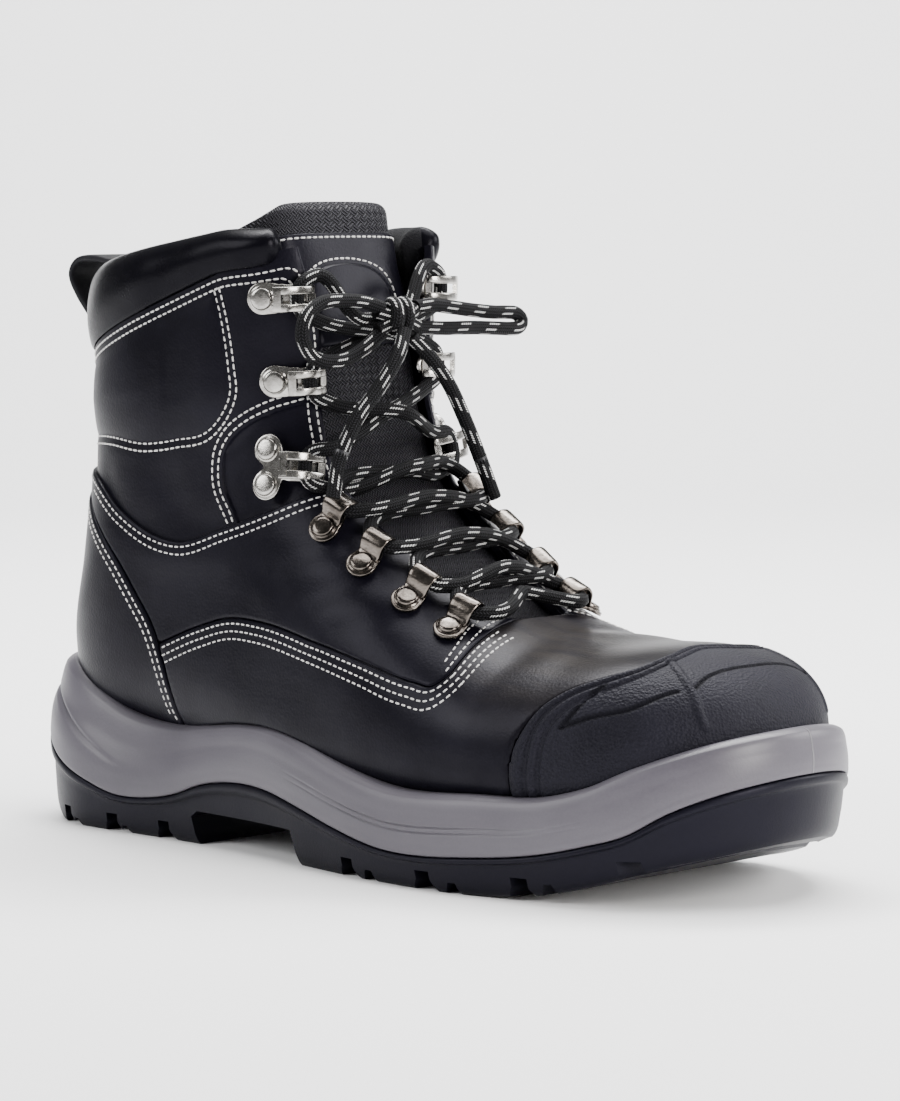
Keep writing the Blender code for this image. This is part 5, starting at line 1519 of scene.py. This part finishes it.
def lace_tip(name, route):
    """The sealed end of a lace: a slim sleeve pressed round the braid."""
    path = smooth_run(route, CORD_STEP)
    length = run_along(path)
    tail = path[length > length[-1] - TIP_LENGTH]
    radii = LACE / 2 + 0.12 - 0.5 * np.linspace(0, 1, len(tail)) ** 0.5
    radii[-1] -= 0.5
    piece = cord_mesh(name, [tail], radii)
    dress(piece, None, [aglet_plastic])
    return piece


free_cord("lace_bow_outside", "lace_bow_outer", OUTER_BOW, [knot])
free_cord("lace_bow_inside", "lace_bow_inner", INNER_BOW)
free_cord("lace_end_outside", "lace_end_outer", OUTER_END, [lace_tip("lace_tip_outside", OUTER_END)])
free_cord("lace_end_inside", "lace_end_inner", INNER_END, [lace_tip("lace_tip_inside", INNER_END)])

# Stitches: short stretches of thick white thread along every seam, each a rounded dash that bites into the
# leather at both ends.
STITCH, PITCH, THREAD = 2.0, 2.45, 0.33
thread = Finish("white_thread", {"Specular IOR Level": 0.35})
twist = thread.place.noise(0.35, 2, 0.6)
cloud = thread.place.noise(16, 2)
thread.feed(colour=(twist * 0.6 + cloud * 0.4).ramp(0.25, 0.75).tint((0.42, 0.41, 0.40), (0.80, 0.79, 0.77)),
            roughness=0.6 + twist * 0.25, normal=twist.bump(0.12))
rings = []
for along_it, size in ((-0.5, 0.3), (-0.3, 0.95), (0.3, 0.95), (0.5, 0.3)):
    turn = circle(6)
    bite = -0.9 * THREAD * (2 * abs(along_it)) ** 3
    rings.append(np.column_stack([np.full(6, along_it * STITCH), size * THREAD * np.cos(turn),
                                  bite + size * THREAD * np.sin(turn)]))
dash = solid_piece("stitch_dash", *loft(rings), 80)

points, edges = joined((line, zip(range(len(line) - 1), range(1, len(line)))) for line, _ in stitch_lines)
lifts = np.vstack([normal for _, normal in stitch_lines])
seams = bpy.data.meshes.new("seam_stitches")
seams.from_pydata((points * MM).tolist(), edges, [])
seams.attributes.new("lift", "FLOAT_VECTOR", "POINT").data.foreach_set("vector", lifts.ravel())
stitches = placed("seam_stitches", seams)

tree = bpy.data.node_groups.new("sewn_seam", "GeometryNodeTree")
tree.interface.new_socket("Geometry", in_out="INPUT", socket_type="NodeSocketGeometry")
pitch_input = tree.interface.new_socket("Pitch", in_out="INPUT", socket_type="NodeSocketFloat")
dash_input = tree.interface.new_socket("Dash", in_out="INPUT", socket_type="NodeSocketObject")
thread_input = tree.interface.new_socket("Thread", in_out="INPUT", socket_type="NodeSocketMaterial")
tree.interface.new_socket("Geometry", in_out="OUTPUT", socket_type="NodeSocketGeometry")
nodes = {}
for key, kind in (("start", "NodeGroupInput"), ("curves", "GeometryNodeMeshToCurve"),
                  ("spaced", "GeometryNodeResampleCurve"), ("normal", "GeometryNodeInputNamedAttribute"),
                  ("tangent", "GeometryNodeInputTangent"), ("turned", "FunctionNodeAxesToRotation"),
                  ("shape", "GeometryNodeObjectInfo"), ("set_out", "GeometryNodeInstanceOnPoints"),
                  ("real", "GeometryNodeRealizeInstances"), ("coat", "GeometryNodeSetMaterial"),
                  ("end", "NodeGroupOutput")):
    nodes[key] = tree.nodes.new(kind)
nodes["spaced"].mode = "LENGTH"
nodes["normal"].data_type = "FLOAT_VECTOR"
nodes["normal"].inputs["Name"].default_value = "lift"
nodes["turned"].primary_axis = "Z"
nodes["turned"].secondary_axis = "X"
for source, out, target, into in (
        ("start", "Geometry", "curves", "Mesh"), ("curves", "Curve", "spaced", "Curve"),
        ("start", "Pitch", "spaced", "Length"), ("normal", "Attribute", "turned", "Primary Axis"),
        ("tangent", "Tangent", "turned", "Secondary Axis"), ("start", "Dash", "shape", "Object"),
        ("spaced", "Curve", "set_out", "Points"), ("shape", "Geometry", "set_out", "Instance"),
        ("turned", "Rotation", "set_out", "Rotation"), ("set_out", "Instances", "real", "Geometry"),
        ("real", "Geometry", "coat", "Geometry"), ("start", "Thread", "coat", "Material"),
        ("coat", "Geometry", "end", "Geometry")):
    tree.links.new(nodes[source].outputs[out], nodes[target].inputs[into])
sewing = stitches.modifiers.new("sewing", "NODES")
sewing.node_group = tree
sewing[pitch_input.identifier] = PITCH * MM
sewing[dash_input.identifier] = dash
sewing[thread_input.identifier] = thread.material
settled(stitches)
bpy.data.objects.remove(dash)
dress(stitches, None, [thread])

# Studio: a pale seamless sweep that rises behind the boot, and five large soft lights.
# A long lens looks at the boot from in front of its outer side, a little from above.
sweep_finish = Finish("pale_sweep", {"Specular IOR Level": 0.2})
paper = sweep_finish.place.noise(300, 2)
sweep_finish.feed(colour=paper.tint((0.92, 0.92, 0.925), (0.95, 0.95, 0.955)), roughness=0.75 + 0.1 * paper)
VIEW_ANGLE, VIEW_DISTANCE, VIEW_HEIGHT, VIEW_TARGET = math.radians(43.0), 1300.0, 205.0, 95.0
SWEEP_FRONT, SWEEP_BACK, SWEEP_BEND, SWEEP_HALF = -3000.0, 1500.0, 700.0, 4000.0
away = np.array([-math.sin(VIEW_ANGLE), math.cos(VIEW_ANGLE)])
beside = np.array([math.cos(VIEW_ANGLE), math.sin(VIEW_ANGLE)])
profile = [(SWEEP_FRONT, 0.0), (SWEEP_BACK, 0.0)]
for bend in np.linspace(0.1, math.pi / 2, 16):
    profile.append((SWEEP_BACK + SWEEP_BEND * math.sin(bend), SWEEP_BEND - SWEEP_BEND * math.cos(bend)))
points = []
for reach, height in profile:
    for wide in (-SWEEP_HALF, SWEEP_HALF):
        points.append((*(away * reach + beside * wide), height))
sweep_mesh = bpy.data.meshes.new("studio_sweep")
sweep_mesh.from_pydata((np.array(points) * MM).tolist(), [],
                       [(2 * i, 2 * i + 2, 2 * i + 3, 2 * i + 1) for i in range(len(profile) - 1)])
sweep_mesh.shade_smooth()
sweep_mesh.flip_normals()
sweep_mesh.materials.append(sweep_finish.material)
placed("studio_sweep", sweep_mesh)


def aimed(thing, spot, target):
    """Sets a light or a camera at a spot, facing a target."""
    thing.location = np.array(spot) * MM
    thing.rotation_euler = Vector(np.subtract(target, spot)).to_track_quat("-Z", "Y").to_euler()


def soft_light(name, spot, target, size, power, colour=(1.0, 1.0, 1.0)):
    """A flat area light that faces a target."""
    data = bpy.data.lights.new(name, "AREA")
    data.shape = "RECTANGLE"
    data.size, data.size_y = size[0] * MM, size[1] * MM
    data.energy = power
    data.color = colour
    aimed(placed(name, data), spot, target)


soft_light("key_softbox", (-600.0, -1000.0, 720.0), (0.0, 0.0, 90.0), (700.0, 700.0), 12.0)
soft_light("front_softbox", (1250.0, -110.0, 460.0), (20.0, 0.0, 80.0), (450.0, 650.0), 20.0,
           (1.0, 0.97, 0.94))
soft_light("inner_softbox", (750.0, 950.0, 620.0), (0.0, 0.0, 120.0), (600.0, 600.0), 14.0)
soft_light("top_softbox", (-100.0, 250.0, 1300.0), (0.0, 0.0, 0.0), (1500.0, 1200.0), 42.0)
soft_light("sweep_softbox", (-600.0, 900.0, 1900.0), (-1200.0, 1400.0, 300.0), (1600.0, 900.0), 90.0)
world = bpy.data.worlds.new("studio_world")
world.use_nodes = True
backdrop = world.node_tree.nodes["Background"].inputs
backdrop["Color"].default_value = (1.0, 1.0, 1.0, 1.0)
backdrop["Strength"].default_value = 0.2
bpy.context.scene.world = world

FOCAL_PIXELS, FRAME_WIDTH, CLOSER, SENSOR = 3460.0, 900.0, 1.2, 36.0
camera_data = bpy.data.cameras.new("photo_camera")
camera_data.sensor_fit = "HORIZONTAL"
camera_data.sensor_width = SENSOR
camera_data.lens = SENSOR * FOCAL_PIXELS * CLOSER / FRAME_WIDTH
camera_data.shift_x = 0.029
camera_data.clip_end = 50.0
camera = placed("photo_camera", camera_data)
spot = (math.sin(VIEW_ANGLE) * VIEW_DISTANCE, -math.cos(VIEW_ANGLE) * VIEW_DISTANCE, VIEW_HEIGHT)
aimed(camera, spot, (0.0, 0.0, VIEW_TARGET))
bpy.context.scene.camera = camera

bpy.context.view_layer.update()
